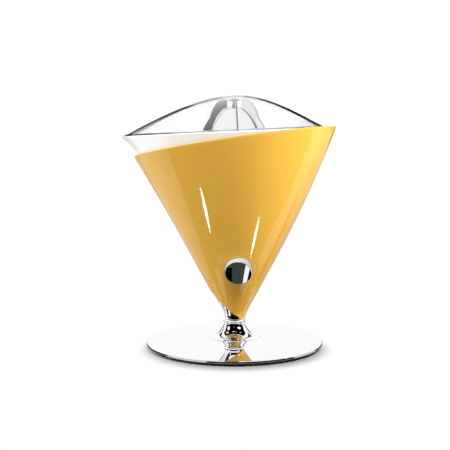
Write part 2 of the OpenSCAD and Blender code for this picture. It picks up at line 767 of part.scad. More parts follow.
// Inner frame that carries the deck, clamped in the neck by the nut
module chassis() {
    flange_r = flange_out_r - chassis_flange_w;
    wall_z = cone_top_z + chassis_step_h;
    foot = [for (t = shares(10)) chassis_z + (cone_top_z - chassis_z) * t];
    wall = [for (t = shares(10)) wall_z + (deck_z - wall_z) * t];
    heights = concat(foot, wall);
    outer = [for (z = heights) [chassis_out(z), z]];
    inner = [
        for (i = [len(heights) - 1 : -1 : 0])
            let (z = heights[i])
            if (z > nut_z && z < flange_z) [chassis_out(z) - chassis_t, z]
    ];
    profile = concat(
        [[spigot_r + seat_gap, chassis_z]], outer,
        [[flange_r, deck_z], [flange_r, flange_z], [flange_out_r, flange_z]],
        inner,
        [[chassis_out(nut_z) - chassis_t, nut_z], [spigot_r + seat_gap, nut_z]]
    );
    color("#5b5b60") difference() {
        rotate_extrude() polygon(profile);
        on_button(0) cylinder(r = guide_r + seat_gap, h = guide_end_at);
        on_circle(deck_screw_circle, deck_screw_turns)
            translate([0, 0, flange_z - over])
                cylinder(r = screw_r + seat_gap, h = chassis_flange_t + 2 * over);
    }
}

// Coloured outer sleeve: the leaning cone between two slanted cuts
module outer_sleeve() {
    rows = 12;
    row_power = 1.4;
    function wrap_point(share, inset, turn) =
        let (
            low = cut_z(wrap_low_mid_z, -wrap_fall, inset, turn, wrap_low_mid_z, cut_steps),
            high = cut_z(wrap_top_z, wrap_slope, inset, turn, wrap_top_z, cut_steps),
            z = low + (high - low) * pow(share, row_power)
        )
        [body_x(z) + (body_r(z) - inset) * cos(turn), (body_r(z) - inset) * sin(turn), z];
    function wrap_ring(share, inset) =
        [for (turn = turns(sleeve_sides)) wrap_point(share, inset, turn)];
    outer = [for (t = shares(rows)) wrap_ring(t, 0)];
    inner = [for (t = shares(rows)) wrap_ring(1 - t, wrap_t)];
    color("#e8b03c") difference() {
        ring_loft(concat(outer, inner));
        on_button(-button_r) cylinder(r = button_r + button_gap, h = button_r + guide_front_at);
    }
}

// Flange and tube that guide the button, with two arms for the power switch
module button_guide() {
    arm_x = switch_w / 2 + seat_gap;
    arm_at = guide_back_at - over;
    color("#3c3c40") difference() {
        union() {
            on_button(guide_front_at) cylinder(r = guide_r, h = guide_t);
            on_button(guide_front_at) cylinder(r = guide_tube_r, h = guide_end_at - guide_front_at);
            for (x = [arm_x, -arm_x - switch_arm_t])
                on_button(arm_at) translate([x, -switch_h / 2, 0])
                    cube([switch_arm_t, switch_h, switch_at + switch_d - arm_at]);
        }
        on_button(guide_front_at - over)
            cylinder(r = stem_r + run_gap, h = guide_end_at - guide_front_at + 2 * over);
        on_button(guide_front_at - over)
            cylinder(r = guide_bore_r, h = spring_seat_at - guide_front_at + over);
    }
}

// Chromed push button: a flat round head that stands proud of the sleeve, on a stem
module button() {
    color("#d8d8dc") on_button(0) rotate_extrude() polygon([
        [0, -button_rise], [button_r - button_edge, -button_rise],
        [button_r, button_edge - button_rise], [button_r, button_back_at],
        [stem_r, button_back_at], [stem_r, guide_end_at], [0, guide_end_at]
    ]);
}

module button_spring() {
    front = button_back_at + seat_gap;
    back = spring_seat_at - seat_gap;
    color("#b0b0b4") on_button(0) coil(button_spring_r, button_wire, front, back, button_turns);
}

module power_switch() {
    color("#e6e2d8") union() {
        on_button(switch_at) translate([-switch_w / 2, -switch_h / 2, 0])
            cube([switch_w, switch_h, switch_d]);
        on_button(guide_end_at + button_travel + seat_gap)
            cylinder(r = switch_plunger_r, h = 2 * face_gap + over);
    }
}

// Round circuit board that lies in the narrowing chassis
module control_board() {
    board_z = chassis_z + board_h;
    board_r = chassis_out(board_z) - chassis_t - loose_gap;
    relay_w = board_r / 2;
    relay_d = 0.8 * relay_w;
    capacitor_r = board_r / 5;
    color("#2f6b45") translate([0, 0, board_z]) union() {
        ring(board_r, lead_bore_r, board_t);
        translate([-relay_w, relay_w / 2, board_t / 2]) cube([relay_w, relay_d, relay_h]);
        translate([board_r / 3, -board_r / 4, board_t / 2]) cylinder(r = capacitor_r, h = capacitor_h);
    }
}

// Motor, hung under the gearbox plate
module motor_can() {
    floor_t = bush_len;
    color("#8d9096") translate([0, 0, motor_z]) difference() {
        cylinder(r = motor_r, h = motor_len - motor_cap_t);
        translate([0, 0, floor_t]) cylinder(r = motor_r - motor_wall, h = motor_len);
        translate([0, 0, -over])
            cylinder(r = rotor_shaft_r + bush_wall + seat_gap, h = floor_t + 2 * over);
    }
}

module motor_cap() {
    color("#3a3a3e") translate([0, 0, motor_cap_z]) difference() {
        cylinder(r = motor_r, h = motor_cap_t);
        translate([0, 0, -over])
            cylinder(r = rotor_shaft_r + bush_wall + seat_gap, h = motor_cap_t + 2 * over);
        on_circle(motor_screw_circle, motor_screw_turns)
            translate([0, 0, cap_floor_t]) cylinder(r = screw_r + seat_gap, h = motor_cap_t);
    }
}

module motor_bushes() {
    color("#b08d57") {
        translate([0, 0, motor_z]) ring(rotor_shaft_r + bush_wall, rotor_shaft_r + run_gap, bush_len);
        translate([0, 0, plate_z - bush_len])
            ring(rotor_shaft_r + bush_wall, rotor_shaft_r + run_gap, bush_len);
    }
}

module stator_core() {
    color("#6d7075") translate([0, 0, stator_z]) ring(stator_r, stator_r - stator_depth, stator_len);
}

// End turns of the winding, above and below the stack
module stator_windings() {
    color("#b87333") for (z = [stator_z - winding_h - seat_gap, stator_z + stator_len + seat_gap])
        translate([0, 0, z])
            ring(stator_r - edge_break, stator_r - stator_depth + edge_break, winding_h);
}

module motor_rotor() {
    color("#77797e") union() {
        translate([0, 0, motor_z + edge_break])
            cylinder(r = rotor_shaft_r, h = second_gear_z - motor_z - edge_break);
        translate([0, 0, stator_z]) cylinder(r = stator_r - stator_depth - air_gap, h = stator_len);
    }
}

module motor_pinion() {
    color("#c9a25a") translate([0, 0, first_gear_z]) difference() {
        linear_extrude(gear_w) gear_2d(pinion_teeth);
        translate([0, 0, -over]) cylinder(r = rotor_shaft_r + seat_gap, h = gear_w + 2 * over);
    }
}

module motor_screws() {
    color("#9a9a9e") on_circle(motor_screw_circle, motor_screw_turns)
        translate([0, 0, gear_z]) rotate([180, 0, 0])
            screw(plate_t + motor_cap_t - cap_floor_t - screw_spare);
}

// Plate that carries the motor, the idler's pin and the start switch
module gearbox_plate() {
    color("#a9adb3") translate([0, 0, plate_z]) difference() {
        cylinder(r = plate_r, h = plate_t);
        translate([0, 0, -over]) cylinder(r = rotor_shaft_r + face_gap, h = plate_t + 2 * over);
        translate([idler_x, 0, -over]) cylinder(r = idler_pin_r + seat_gap, h = plate_t + 2 * over);
        on_circle(motor_screw_circle, motor_screw_turns)
            translate([0, 0, -over]) cylinder(r = screw_r + seat_gap, h = plate_t + 2 * over);
        on_circle(post_circle, post_turns)
            translate([0, 0, -over]) cylinder(r = screw_r + seat_gap, h = plate_t + 2 * over);
    }
}

module plate_screws() {
    color("#9a9a9e") on_circle(post_circle, post_turns)
        translate([0, 0, plate_z]) screw(plate_t + post_screw_depth - screw_spare);
}

module idler_pin() {
    color("#b4b4b8") translate([idler_x, 0, plate_z])
        cylinder(r = idler_pin_r, h = deck_top_z - plate_z);
}

// Wheel and pinion in one piece, turning on the pin
module idler_gear() {
    color("#efe9d6") translate([idler_x, 0, 0]) difference() {
        union() {
            translate([0, 0, first_gear_z]) linear_extrude(gear_w) gear_2d(wheel_teeth);
            translate([0, 0, second_gear_z - over])
                linear_extrude(idler_top_z - second_gear_z + over) gear_2d(pinion_teeth);
        }
        translate([0, 0, first_gear_z - over]) cylinder(r = idler_pin_r + run_gap, h = gear_room);
    }
}

module output_gear() {
    color("#efe9d6") translate([0, 0, output_gear_z]) difference() {
        linear_extrude(gear_w) gear_2d(wheel_teeth);
        translate([0, 0, -over]) cylinder(r = shaft_r + seat_gap, h = gear_w + 2 * over);
    }
}

// Small switch that the output gear presses when the shaft goes down
module start_switch() {
    switch_x = start_switch_inset - pitch_r(wheel_teeth);
    plunger_h = output_gear_z - press_travel - loose_gap - gear_z;
    color("#e6e2d8") translate([switch_x, 0, gear_z]) union() {
        translate([-start_switch_w / 2, -start_switch_d / 2, 0])
            cube([start_switch_w, start_switch_d, start_switch_h]);
        cylinder(r = start_plunger_r, h = plunger_h);
    }
}

// Deck that carries the bowl, with the shaft's tube above and the gearbox posts below
module deck() {
    color("#4a4a4f") difference() {
        union() {
            translate([body_x(deck_z), 0, deck_z])
                cylinder(r = body_r(deck_z) - wrap_t - loose_gap, h = deck_t);
            translate([0, 0, deck_z]) cylinder(r = tube_r, h = tube_top_z - deck_z);
            on_circle(post_circle, post_turns)
                translate([0, 0, gear_z + seat_gap]) cylinder(r = post_r, h = gear_room + over);
        }
        translate([0, 0, ledge_top_z]) cylinder(r = bearing_r + run_gap, h = tube_top_z);
        translate([0, 0, deck_z - over]) cylinder(r = shaft_r + collar_w, h = tube_top_z);
        translate([idler_x, 0, deck_z - over])
            cylinder(r = idler_pin_r + seat_gap, h = deck_t + 2 * over);
        on_circle(post_circle, post_turns)
            translate([0, 0, gear_z - over]) cylinder(r = screw_r + seat_gap, h = post_screw_depth + over);
        on_circle(deck_screw_circle, deck_screw_turns)
            translate([0, 0, deck_z - over]) cylinder(r = screw_r + seat_gap, h = deck_t + 2 * over);
    }
}

module deck_screws() {
    color("#9a9a9e") on_circle(deck_screw_circle, deck_screw_turns)
        translate([0, 0, deck_top_z]) rotate([180, 0, 0])
            screw(deck_t + chassis_flange_t - screw_spare);
}

module shaft_spring() {
    color("#b0b0b4")
        coil(shaft_spring_r, spring_wire, ledge_top_z + seat_gap, bearing_z - seat_gap, spring_turns);
}

// Bronze bearing that slides down in the tube with the shaft
module sliding_bearing() {
    color("#b08d57") translate([0, 0, bearing_z]) ring(bearing_r, shaft_r + run_gap, bearing_h);
}

module shaft_seal() {
    color("#222222") translate([0, 0, seal_z]) ring(bearing_r, shaft_r + run_gap, seal_t);
}

// Steel shaft with a collar on the bearing and a hexagon for the reamer
module drive_shaft() {
    color("#c4c6ca") union() {
        translate([0, 0, shaft_bottom_z]) cylinder(r = shaft_r, h = shaft_hex_z - shaft_bottom_z);
        translate([0, 0, collar_z]) cylinder(r = shaft_r + collar_w, h = collar_t);
        translate([0, 0, shaft_hex_z - over])
            cylinder(r = shaft_r, h = shaft_top_z - shaft_hex_z + over, $fn = 6);
    }
}

module shaft_circlip() {
    color("#9a9a9e") translate([0, 0, circlip_z])
        ring(shaft_r + collar_w, shaft_r + seat_gap, circlip_t);
}

// Juice bowl with a central tube, a foot ring, a ledge for the lid and a pouring lip
module bowl() {
    rows = 8;
    all = turns(shell_sides);
    function round_ring(r, z) = [for (turn = all) [r * cos(turn), r * sin(turn), z]];
    function wall_ring(low, share, inset, drop) =
        [for (turn = all) bowl_point(low + (bowl_rim_at(turn) - drop - low) * share, inset, turn)];
    outside = [for (t = shares(rows)) wall_ring(bowl_z, t, 0, 0)];
    ledge = [for (h = [0, -ledge_t]) [for (turn = all) lid_point(ledge_share, turn, h)]];
    inside = [for (t = shares(rows)) wall_ring(bowl_floor_z, 1 - t, bowl_t, ledge_t * 2)];
    foot_z = bowl_z - bowl_foot_h;
    color("#f4f2ee") ring_loft(concat(
        [round_ring(hub_r, bowl_z), round_ring(bowl_foot_r, bowl_z), round_ring(bowl_foot_r, foot_z)],
        [round_ring(bowl_foot_r + bowl_t, foot_z), round_ring(bowl_foot_r + bowl_t, bowl_z)],
        outside, ledge, inside,
        [round_ring(hub_r + hub_wall, bowl_floor_z), round_ring(hub_r + hub_wall, hub_top_z)],
        [round_ring(hub_r, hub_top_z)]
    ));
}

// Slotted steel strainer between the bowl's wall and the reamer
module strainer() {
    rim_r = strainer_r(strainer_z);
    rim_x = body_x(strainer_z);
    slot_start = strainer_hole_r + slot_land;
    slot_len = (rim_r + rim_x - slot_land - slot_start - slot_band) / 2;
    color("#c9ccd0") translate([0, 0, strainer_z]) difference() {
        union() {
            translate([rim_x, 0, 0]) cylinder(r = rim_r, h = strainer_t);
            translate([rim_x, 0, 0]) ring(rim_r, rim_r - strainer_t, strainer_collar_h);
            cylinder(r = strainer_hole_r + strainer_t, h = strainer_collar_h);
        }
        translate([0, 0, -over]) cylinder(r = strainer_hole_r, h = strainer_collar_h + 2 * over);
        for (start = [slot_start, slot_start + slot_len + slot_band])
            on_circle(start, turns(slot_count))
                translate([0, -slot_w / 2, -over]) cube([slot_len, slot_w, strainer_t + 2 * over]);
    }
}

// Reamer: a polished dome with upright fins, hollow for its core
module reamer() {
    waist_share = 0.35;
    shoulder_share = 0.72;
    shoulder_in = 0.83;
    edge_z = reamer_z + skirt_t;
    waist = [dome_r, reamer_z + waist_share * dome_h];
    dome_top_z = reamer_z + dome_h;
    skirt = bezier([reamer_r, edge_z], [dome_r + 2 * skirt_t, edge_z + 2 * skirt_t], waist);
    dome = bezier(
        waist,
        [shoulder_in * dome_r, reamer_z + shoulder_share * dome_h],
        [dome_flat_r, dome_top_z - dome_edge]
    );
    fin_foot = [reamer_r - fin_inset, reamer_z + fin_inset];
    fin_shoulder = [fin_shoulder_r, reamer_z + fin_side_h];
    fin_top = [fin_top_r, reamer_z + reamer_h];
    fin_side = bezier(fin_foot, (fin_foot + fin_shoulder) / 2 + [fin_bulge, 0], fin_shoulder);
    fin_tip = bezier(
        fin_shoulder,
        [(fin_shoulder_r + fin_top_r) / 2 + fin_bulge, fin_top[1]],
        fin_top
    );
    color("#d4d6da") difference() {
        union() {
            rotate_extrude()
                polygon(concat([[0, dome_top_z], [0, reamer_z], [reamer_r, reamer_z]], skirt, dome));
            for (turn = turns(fin_count))
                rotate([0, 0, turn]) rotate([90, 0, 0])
                    translate([0, 0, -fin_t / 2]) linear_extrude(fin_t)
                        polygon(concat([[0, fin_top[1]], [0, fin_foot[1]]], fin_side, fin_tip));
        }
        rotate_extrude() polygon([
            [0, reamer_z - over], [core_foot_r, reamer_z - over], [core_foot_r, reamer_z],
            [core_top_r, core_top_z], [0, core_top_z]
        ]);
    }
}

// Plastic core that joins the reamer to the shaft's hexagon
module reamer_core() {
    color("#ecebe6") difference() {
        rotate_extrude() polygon([
            [0, reamer_z], [core_foot_r - seat_gap, reamer_z],
            [core_top_r - seat_gap, core_top_z - seat_gap], [0, core_top_z - seat_gap]
        ]);
        translate([0, 0, reamer_z - over])
            cylinder(r = shaft_r + loose_gap, h = shaft_top_z + loose_gap - reamer_z + over, $fn = 6);
    }
}

// Clear lid: a scaled copy of the rim's outline at each height, under a rounded cone
module lid() {
    rows = 12;
    all = turns(shell_sides);
    apex_z = rim_plane(0) + lid_h;
    function lid_ring(share, h) = [for (turn = all) lid_point(share, turn, h)];
    outside = [for (i = [1 : rows]) lid_ring(i / rows, lid_top(i / rows))];
    inside = [for (i = [rows : -1 : 1])
        let (share = lip_in_share * i / rows) lid_ring(share, lid_top(share) - lid_t)];
    rim = [
        lid_ring(1, lid_rest_gap), lid_ring(lip_share, lid_rest_gap),
        lid_ring(lip_share, -lid_lip), lid_ring(lip_in_share, -lid_lip)
    ];
    color("#dfe6ea", 0.35)
        pole_loft([0, 0, apex_z], concat(outside, rim, inside), [0, 0, apex_z - lid_t]);
}

foot_ring();
base_plate();
base_cover();
cover_screws();
lead_gland();
pedestal();
pedestal_screws();
neck_ring();
lower_cone();
neck_nut();
chassis();
outer_sleeve();
button_guide();
button();
button_spring();
power_switch();
control_board();
motor_can();
motor_cap();
motor_bushes();
stator_core();
stator_windings();
motor_rotor();
motor_pinion();
motor_screws();
gearbox_plate();
plate_screws();
idler_pin();
idler_gear();
output_gear();
start_switch();
deck();
deck_screws();
shaft_spring();
sliding_bearing();
shaft_seal();
drive_shaft();
shaft_circlip();
bowl();
strainer();
reamer();
reamer_core();
lid();
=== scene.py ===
import bmesh
import bpy
import numpy as np
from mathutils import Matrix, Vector


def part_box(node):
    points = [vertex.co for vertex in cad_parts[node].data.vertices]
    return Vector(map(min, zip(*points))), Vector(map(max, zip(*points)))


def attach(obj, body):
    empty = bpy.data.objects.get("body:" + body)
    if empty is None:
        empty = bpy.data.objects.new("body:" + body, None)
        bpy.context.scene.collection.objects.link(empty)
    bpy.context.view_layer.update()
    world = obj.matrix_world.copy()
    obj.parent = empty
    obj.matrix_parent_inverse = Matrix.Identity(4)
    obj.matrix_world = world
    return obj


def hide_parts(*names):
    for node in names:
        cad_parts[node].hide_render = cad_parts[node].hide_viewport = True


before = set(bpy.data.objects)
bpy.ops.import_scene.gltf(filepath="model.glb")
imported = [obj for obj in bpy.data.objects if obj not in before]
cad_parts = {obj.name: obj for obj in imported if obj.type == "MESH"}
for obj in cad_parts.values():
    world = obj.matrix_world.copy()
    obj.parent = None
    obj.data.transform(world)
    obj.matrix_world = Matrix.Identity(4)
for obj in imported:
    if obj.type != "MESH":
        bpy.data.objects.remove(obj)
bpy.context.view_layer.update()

# Foot ring, lead gland and shaft seal
# Black rubber mouldings: the ring is pressed into the groove under the base disc, the gland into
# the slot at the rear of its rim, and the seal into the top of the deck's tube.


def finish(
    name, colour, rough, metal=0.0, drift=0.06, patch=0.03, relief=0.0, grain=0.001, lay=None, **sockets
):
    """Principled finish. Soft noise in patches of one size (m) drifts the colour and the roughness
    about their middle values; finer noise of the grain's size (m) lifts the surface by the relief (m).
    A lay (direction, pitch, depth) adds the lines of the making: straight ones, or rings about Z."""
    material = bpy.data.materials.new(name)
    material.use_nodes = True
    nodes, links = material.node_tree.nodes, material.node_tree.links
    shader = nodes["Principled BSDF"]
    thin, thick, rough_drift = 0.3, 0.7, 0.2
    place = nodes.new("ShaderNodeTexCoord")
    cloud = nodes.new("ShaderNodeTexNoise")
    cloud.inputs["Scale"].default_value = 1 / patch
    cloud.inputs["Detail"].default_value = 3
    links.new(place.outputs["Object"], cloud.inputs["Vector"])
    tone = nodes.new("ShaderNodeValToRGB")
    for stop, at, share in zip(tone.color_ramp.elements, (thin, thick), (1 - drift, 1 + drift)):
        stop.position = at
        stop.color = (*np.clip(np.array(colour) * share, 0, 1), 1)
    links.new(cloud.outputs["Fac"], tone.inputs["Fac"])
    links.new(tone.outputs["Color"], shader.inputs["Base Color"])
    sheen = nodes.new("ShaderNodeMapRange")
    sheen.inputs["From Min"].default_value = thin
    sheen.inputs["From Max"].default_value = thick
    sheen.inputs["To Min"].default_value = (1 - rough_drift) * rough
    sheen.inputs["To Max"].default_value = (1 + rough_drift) * rough
    links.new(cloud.outputs["Fac"], sheen.inputs["Value"])
    links.new(sheen.outputs["Result"], shader.inputs["Roughness"])
    if relief:
        fine = nodes.new("ShaderNodeTexNoise")
        fine.inputs["Scale"].default_value = 1 / grain
        fine.inputs["Detail"].default_value = 2
        links.new(place.outputs["Object"], fine.inputs["Vector"])
        bump = nodes.new("ShaderNodeBump")
        bump.inputs["Distance"].default_value = relief
        links.new(fine.outputs["Fac"], bump.inputs["Height"])
        links.new(bump.outputs["Normal"], shader.inputs["Normal"])
    if lay:
        way, pitch, depth = lay
        lines = nodes.new("ShaderNodeTexWave")
        lines.wave_type = "RINGS" if way == "RINGS" else "BANDS"
        lines.bands_direction, lines.rings_direction = "Z" if way == "RINGS" else way, "Z"
        wave_rate = 20
        lines.inputs["Scale"].default_value = 2 * np.pi / (wave_rate * pitch)
        lines.inputs["Distortion"].default_value = 1.5
        lines.inputs["Detail"].default_value = 2
        links.new(place.outputs["Object"], lines.inputs["Vector"])
        ridge = nodes.new("ShaderNodeBump")
        ridge.inputs["Distance"].default_value = depth
        links.new(lines.outputs["Fac"], ridge.inputs["Height"])
        if relief:
            links.new(bump.outputs["Normal"], ridge.inputs["Normal"])
        links.new(ridge.outputs["Normal"], shader.inputs["Normal"])
    shader.inputs["Metallic"].default_value = metal
    for socket, value in sockets.items():
        shader.inputs[socket.replace("_", " ")].default_value = value
    return material


def dress(material, *nodes):
    """Puts a finish into the material slot of each CAD node."""
    for name in nodes:
        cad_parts[name].material_slots[0].material = material


rubber = finish(
    "foot_rubber", (0.03, 0.03, 0.032), 0.75, drift=0.15, patch=0.012, relief=0.0002, grain=0.0008
)
dress(rubber, "foot_ring", "lead_gland", "shaft_seal")

# Base disc
# A heavy steel disc, turned with a shallow dome and a fine rounded rim, hollow underneath, with a
# groove for the rubber ring. It is polished and chromed to a mirror.


def span(node):
    """Lowest and highest corner of a CAD node, in millimetres."""
    return [np.array(corner) * 1000 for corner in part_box(node)]


def rounded(corners, steps=7, flank=1.3):
    """Closed outline through corners (r, z, rounding). A rounded corner becomes a quadratic curve with
    the corner as its control point. A point on each side, at the flank's share of the rounding from the
    corner, keeps the flanks straight."""
    corners = np.array(corners, float)
    t = np.linspace(0, 1, steps)[:, None]
    outline = []
    for before, (*middle, size), after in zip(np.roll(corners, 1, 0), corners, np.roll(corners, -1, 0)):
        middle = np.array(middle)
        if size == 0:
            outline.append(middle[None])
            continue
        back, ahead = ((end - middle) / np.linalg.norm(end - middle) for end in (before[:2], after[:2]))
        curve = middle + size * (back * (1 - t) ** 2 + ahead * t**2)
        outline += [(middle + flank * size * back)[None], curve, (middle + flank * size * ahead)[None]]
    return np.concatenate(outline)


def lathe(outline, sides=192):
    """Turns an outline (r, z) about the Z axis: a grid of points, one row to each point of it."""
    turn = 2 * np.pi * np.arange(sides) / sides
    r, z = outline[:, :1], outline[:, 1:]
    return np.stack(np.broadcast_arrays(r * np.cos(turn), r * np.sin(turn), z), -1)


def quads(rows, columns, closed=True):
    """Corner numbers of a grid's four-sided faces. Columns wrap round, and in a closed grid rows too."""
    row = np.arange(rows if closed else rows - 1)[:, None]
    column = np.arange(columns)
    row_next, column_next = (row + 1) % rows, (column + 1) % columns
    corners = ((row, column), (row, column_next), (row_next, column_next), (row_next, column))
    return np.stack([r * columns + c for r, c in corners], -1)


def shape(name, sheets, material, body, slot, *replaced, crease=38):
    """One piece from sheets of (points in mm, faces). Points that meet are merged, which closes
    seams and poles, faces are turned outwards, and edges steeper than the crease stay sharp."""
    first = np.cumsum([0] + [points.reshape(-1, 3).shape[0] for points, _ in sheets])
    points = np.concatenate([points.reshape(-1, 3) for points, _ in sheets]) / 1000
    faces = np.concatenate([faces.reshape(-1, 4) + start for (_, faces), start in zip(sheets, first)])
    used, faces = np.unique(faces, return_inverse=True)
    mesh = bpy.data.meshes.new(name)
    mesh.from_pydata(points[used], [], faces.reshape(-1, 4))
    skin = bmesh.new()
    skin.from_mesh(mesh)
    bmesh.ops.remove_doubles(skin, verts=skin.verts, dist=2e-6)
    bmesh.ops.recalc_face_normals(skin, faces=skin.faces)
    skin.to_mesh(mesh)
    skin.free()
    mesh.shade_smooth()
    mesh.set_sharp_from_angle(angle=np.radians(crease))
    mesh.materials.append(material)
    made = bpy.data.objects.new(name, mesh)
    bpy.context.scene.collection.objects.link(made)
    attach(made, body)
    if replaced:
        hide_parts(*replaced)
    return made


def closed_sheet(points):
    """A sheet whose rows and columns both wrap round."""
    return points, quads(*points.shape[:2])


def open_sheet(points):
    """A sheet whose columns wrap round, with a first and a last row."""
    return points, quads(*points.shape[:2], closed=False)


chrome = finish("mirror_chrome", (0.95, 0.952, 0.96), 0.016, metal=1.0, drift=0.015, patch=0.02)
base_low, base_high = span("base_plate")
pedestal_low, pedestal_high = span("pedestal")
foot_high = span("foot_ring")[1]
base_r, base_z = base_high[0], base_low[2]
base_top_z, pedestal_r = pedestal_low[2], pedestal_high[0]
base_rise, base_band, base_sheet, lead_bore_r = 4.6, 18, 2, 4.2
rim_round, rim_lead, groove_round, band_round = 0.7, 3, 0.2, 0.4
foot_w, foot_gap = 8, 0.05
foot_out_r, foot_in_r = foot_high[0] + foot_gap, foot_high[0] - foot_w - foot_gap
groove_top_z = foot_high[2] + foot_gap
band_r = base_r - base_band


def base_top(r):
    """Height of the disc's top: it falls with the square of the radius outside the pedestal."""
    return base_top_z - base_rise * (r**2 - pedestal_r**2) / (base_r**2 - pedestal_r**2)


dome_r = np.linspace(pedestal_r, base_r - 3 * rim_round, 40)
ceiling_r = np.linspace(band_r, pedestal_r, 16)
rim = rounded(
    [
        (base_r - rim_lead, base_top(base_r - rim_lead), 0), (base_r, base_top(base_r), rim_round),
        (base_r, base_z, rim_round), (foot_out_r, base_z, groove_round), (foot_out_r, groove_top_z, 0),
        (foot_in_r, groove_top_z, 0), (foot_in_r, base_z, groove_round), (band_r, base_z, band_round),
        (band_r, base_top(band_r) - base_sheet, 0),
    ]
)[1:]
base_outline = np.concatenate(
    [
        [[lead_bore_r, base_top_z]], np.stack([dome_r, base_top(dome_r)], -1), rim,
        np.stack([ceiling_r, base_top(ceiling_r) - base_sheet], -1),
        [[lead_bore_r, base_top_z - base_sheet]],
    ]
)
disc = shape("base_disc", [closed_sheet(lathe(base_outline, 256))], chrome, "root", "chrome", "base_plate")

# Bottom cover and its screws
# A black moulded plate with a fine spark texture closes the hollow of the disc, held by four
# zinc-plated screws. Like screws hold the pedestal, the motor, the gearbox and the deck.
black_plastic = finish("black_plastic", (0.045, 0.045, 0.05), 0.5, relief=0.0003, grain=0.0006)
zinc = finish("zinc_steel", (0.6, 0.61, 0.63), 0.32, metal=1.0, drift=0.12, patch=0.004, relief=0.00005)
dress(black_plastic, "base_cover")
dress(zinc, "cover_screws", "pedestal_screws", "motor_screws", "plate_screws", "deck_screws")

# Pedestal, neck ring and nut
# The chromed foot sweeps from a thin flange into a cone, and its hollow spigot passes through the
# bulging neck ring. Inside the body, a plated nut on the spigot clamps the stack together.
neck_z, body_z = span("neck_ring")[0][2], span("neck_ring")[1][2]
cone_foot_r, cone_top_r, cone_hollow, sweep = 20, 11.3, 0.45, 8
flange_t, flange_round = 0.5, 0.3
spigot_r, spigot_top_z = 5.8, pedestal_high[2]
flange_z = base_top_z + flange_t
foot_corner = np.array([cone_foot_r, flange_z])
cone_up = np.array([cone_top_r - cone_foot_r, neck_z - flange_z])
cone_up /= np.linalg.norm(cone_up)
t = np.linspace(0, 1, 33)[:, None]
swept = foot_corner + sweep * (cone_up * (1 - t) ** 2 + np.array([1, 0]) * t**2)
cone_rows = np.linspace(0, 1, 17)[:, None]
straight = np.array([cone_top_r, neck_z]) * (1 - cone_rows) + swept[0] * cone_rows
straight[:, :1] -= 4 * cone_hollow * cone_rows * (1 - cone_rows)
spigot = [
    [lead_bore_r, base_top_z], [lead_bore_r, spigot_top_z], [spigot_r, spigot_top_z], [spigot_r, neck_z]
]
flange = rounded(
    [
        (cone_foot_r + sweep, flange_z, 0), (pedestal_r, flange_z, flange_round),
        (pedestal_r, base_top_z, 0),
    ]
)
pedestal_outline = np.concatenate([spigot, straight, swept[1:], flange[1:]])
shape("pedestal_foot", [closed_sheet(lathe(pedestal_outline))], chrome, "root", "chrome", "pedestal")

ring_r, ring_bulge = span("neck_ring")[1][0], 0.4
u = np.linspace(-1, 1, 25)
ring_side = np.stack([ring_r - ring_bulge * u**2, neck_z + (body_z - neck_z) * (1 + u) / 2], -1)
ring_outline = np.concatenate([[[spigot_r, body_z], [spigot_r, neck_z]], ring_side])
shape("bright_neck_ring", [closed_sheet(lathe(ring_outline))], chrome, "root", "chrome", "neck_ring")
dress(zinc, "neck_nut")

# Lower cone
# The chromed shell that shows where the sleeve is cut away, screwed down on the neck ring.
tip_r, flare, bow, neck_r, blend_power = 9.5, 0.548, 0.00013, 11.9, 8
lean, lean_start = 9, 69
lean_z = body_z + lean_start
wrap_t, wrap_gap, cone_t, cone_floor = 1.6, 0.3, 1.5, 7.2
bowl_foot_h, bowl_depth = 2.4, 49.2
bowl_z = span("bowl")[0][2] + bowl_foot_h
rim_z = bowl_z + bowl_depth


def body_r(z):
    """Radius of the body's skin: a slightly bowed cone blended into the neck's cylinder."""
    cone = tip_r + flare * (z - body_z) - bow * (z - body_z) ** 2
    return (neck_r**blend_power + np.maximum(1, cone) ** blend_power) ** (1 / blend_power)


def body_x(z):
    """Lean of the body's axis towards the spout: it grows with the square of the height."""
    return -lean * (np.maximum(0, z - lean_z) / (rim_z - lean_z)) ** 2


cone_top_z = span("lower_cone")[1][2]
outer_z = np.linspace(body_z, cone_top_z, 49)
inner_z = np.linspace(cone_top_z, body_z + cone_floor, 17)
cone_skin = np.stack([body_r(outer_z) - wrap_t - wrap_gap, outer_z], -1)
cone_inside = np.stack([body_r(inner_z) - wrap_t - wrap_gap - cone_t, inner_z], -1)
cone_outline = np.concatenate(
    [[[spigot_r, body_z + cone_floor], [spigot_r, body_z]], cone_skin, cone_inside]
)
shape("chrome_cone", [closed_sheet(lathe(cone_outline))], chrome, "root", "chrome", "lower_cone")

# Chassis
# The inner frame, moulded in dark grey glass-filled plastic and clamped in the neck by the nut.
grey_plastic = finish("grey_plastic", (0.19, 0.19, 0.2), 0.55, relief=0.0002, grain=0.0009)
dress(grey_plastic, "chassis")

# Outer sleeve
# A tall cone of dyed gloss plastic, cut on the slant at both ends with rounded edges and pierced
# for the button. It is held between the chassis and the deck.
wrap_turn, wrap_drop, wrap_slope = np.radians(-27), 12.2, 0.157
wrap_lap, wrap_low_gap = 1.9, 0.4
button_h, button_r, button_gap = 63.2, 14.8, 0.35
button_z = body_z + button_h
button_tilt = np.arctan(flare - 2 * bow * button_h)
button_place = np.array([0, -body_r(button_z), button_z])
button_in = np.array([0, np.cos(button_tilt), np.sin(button_tilt)])
button_up = np.array([0, -np.sin(button_tilt), np.cos(button_tilt)])
wrap_low_z, wrap_high_z = body_z + wrap_low_gap, cone_top_z - wrap_lap
wrap_fall = (wrap_high_z - wrap_low_z) / (body_r(wrap_high_z) + body_r(wrap_low_z))
low_mid_z = wrap_low_z + wrap_fall * body_r(wrap_low_z)
sleeve_columns, sleeve_rows, edge_round, row_power = 240, 97, 0.5, 1.4


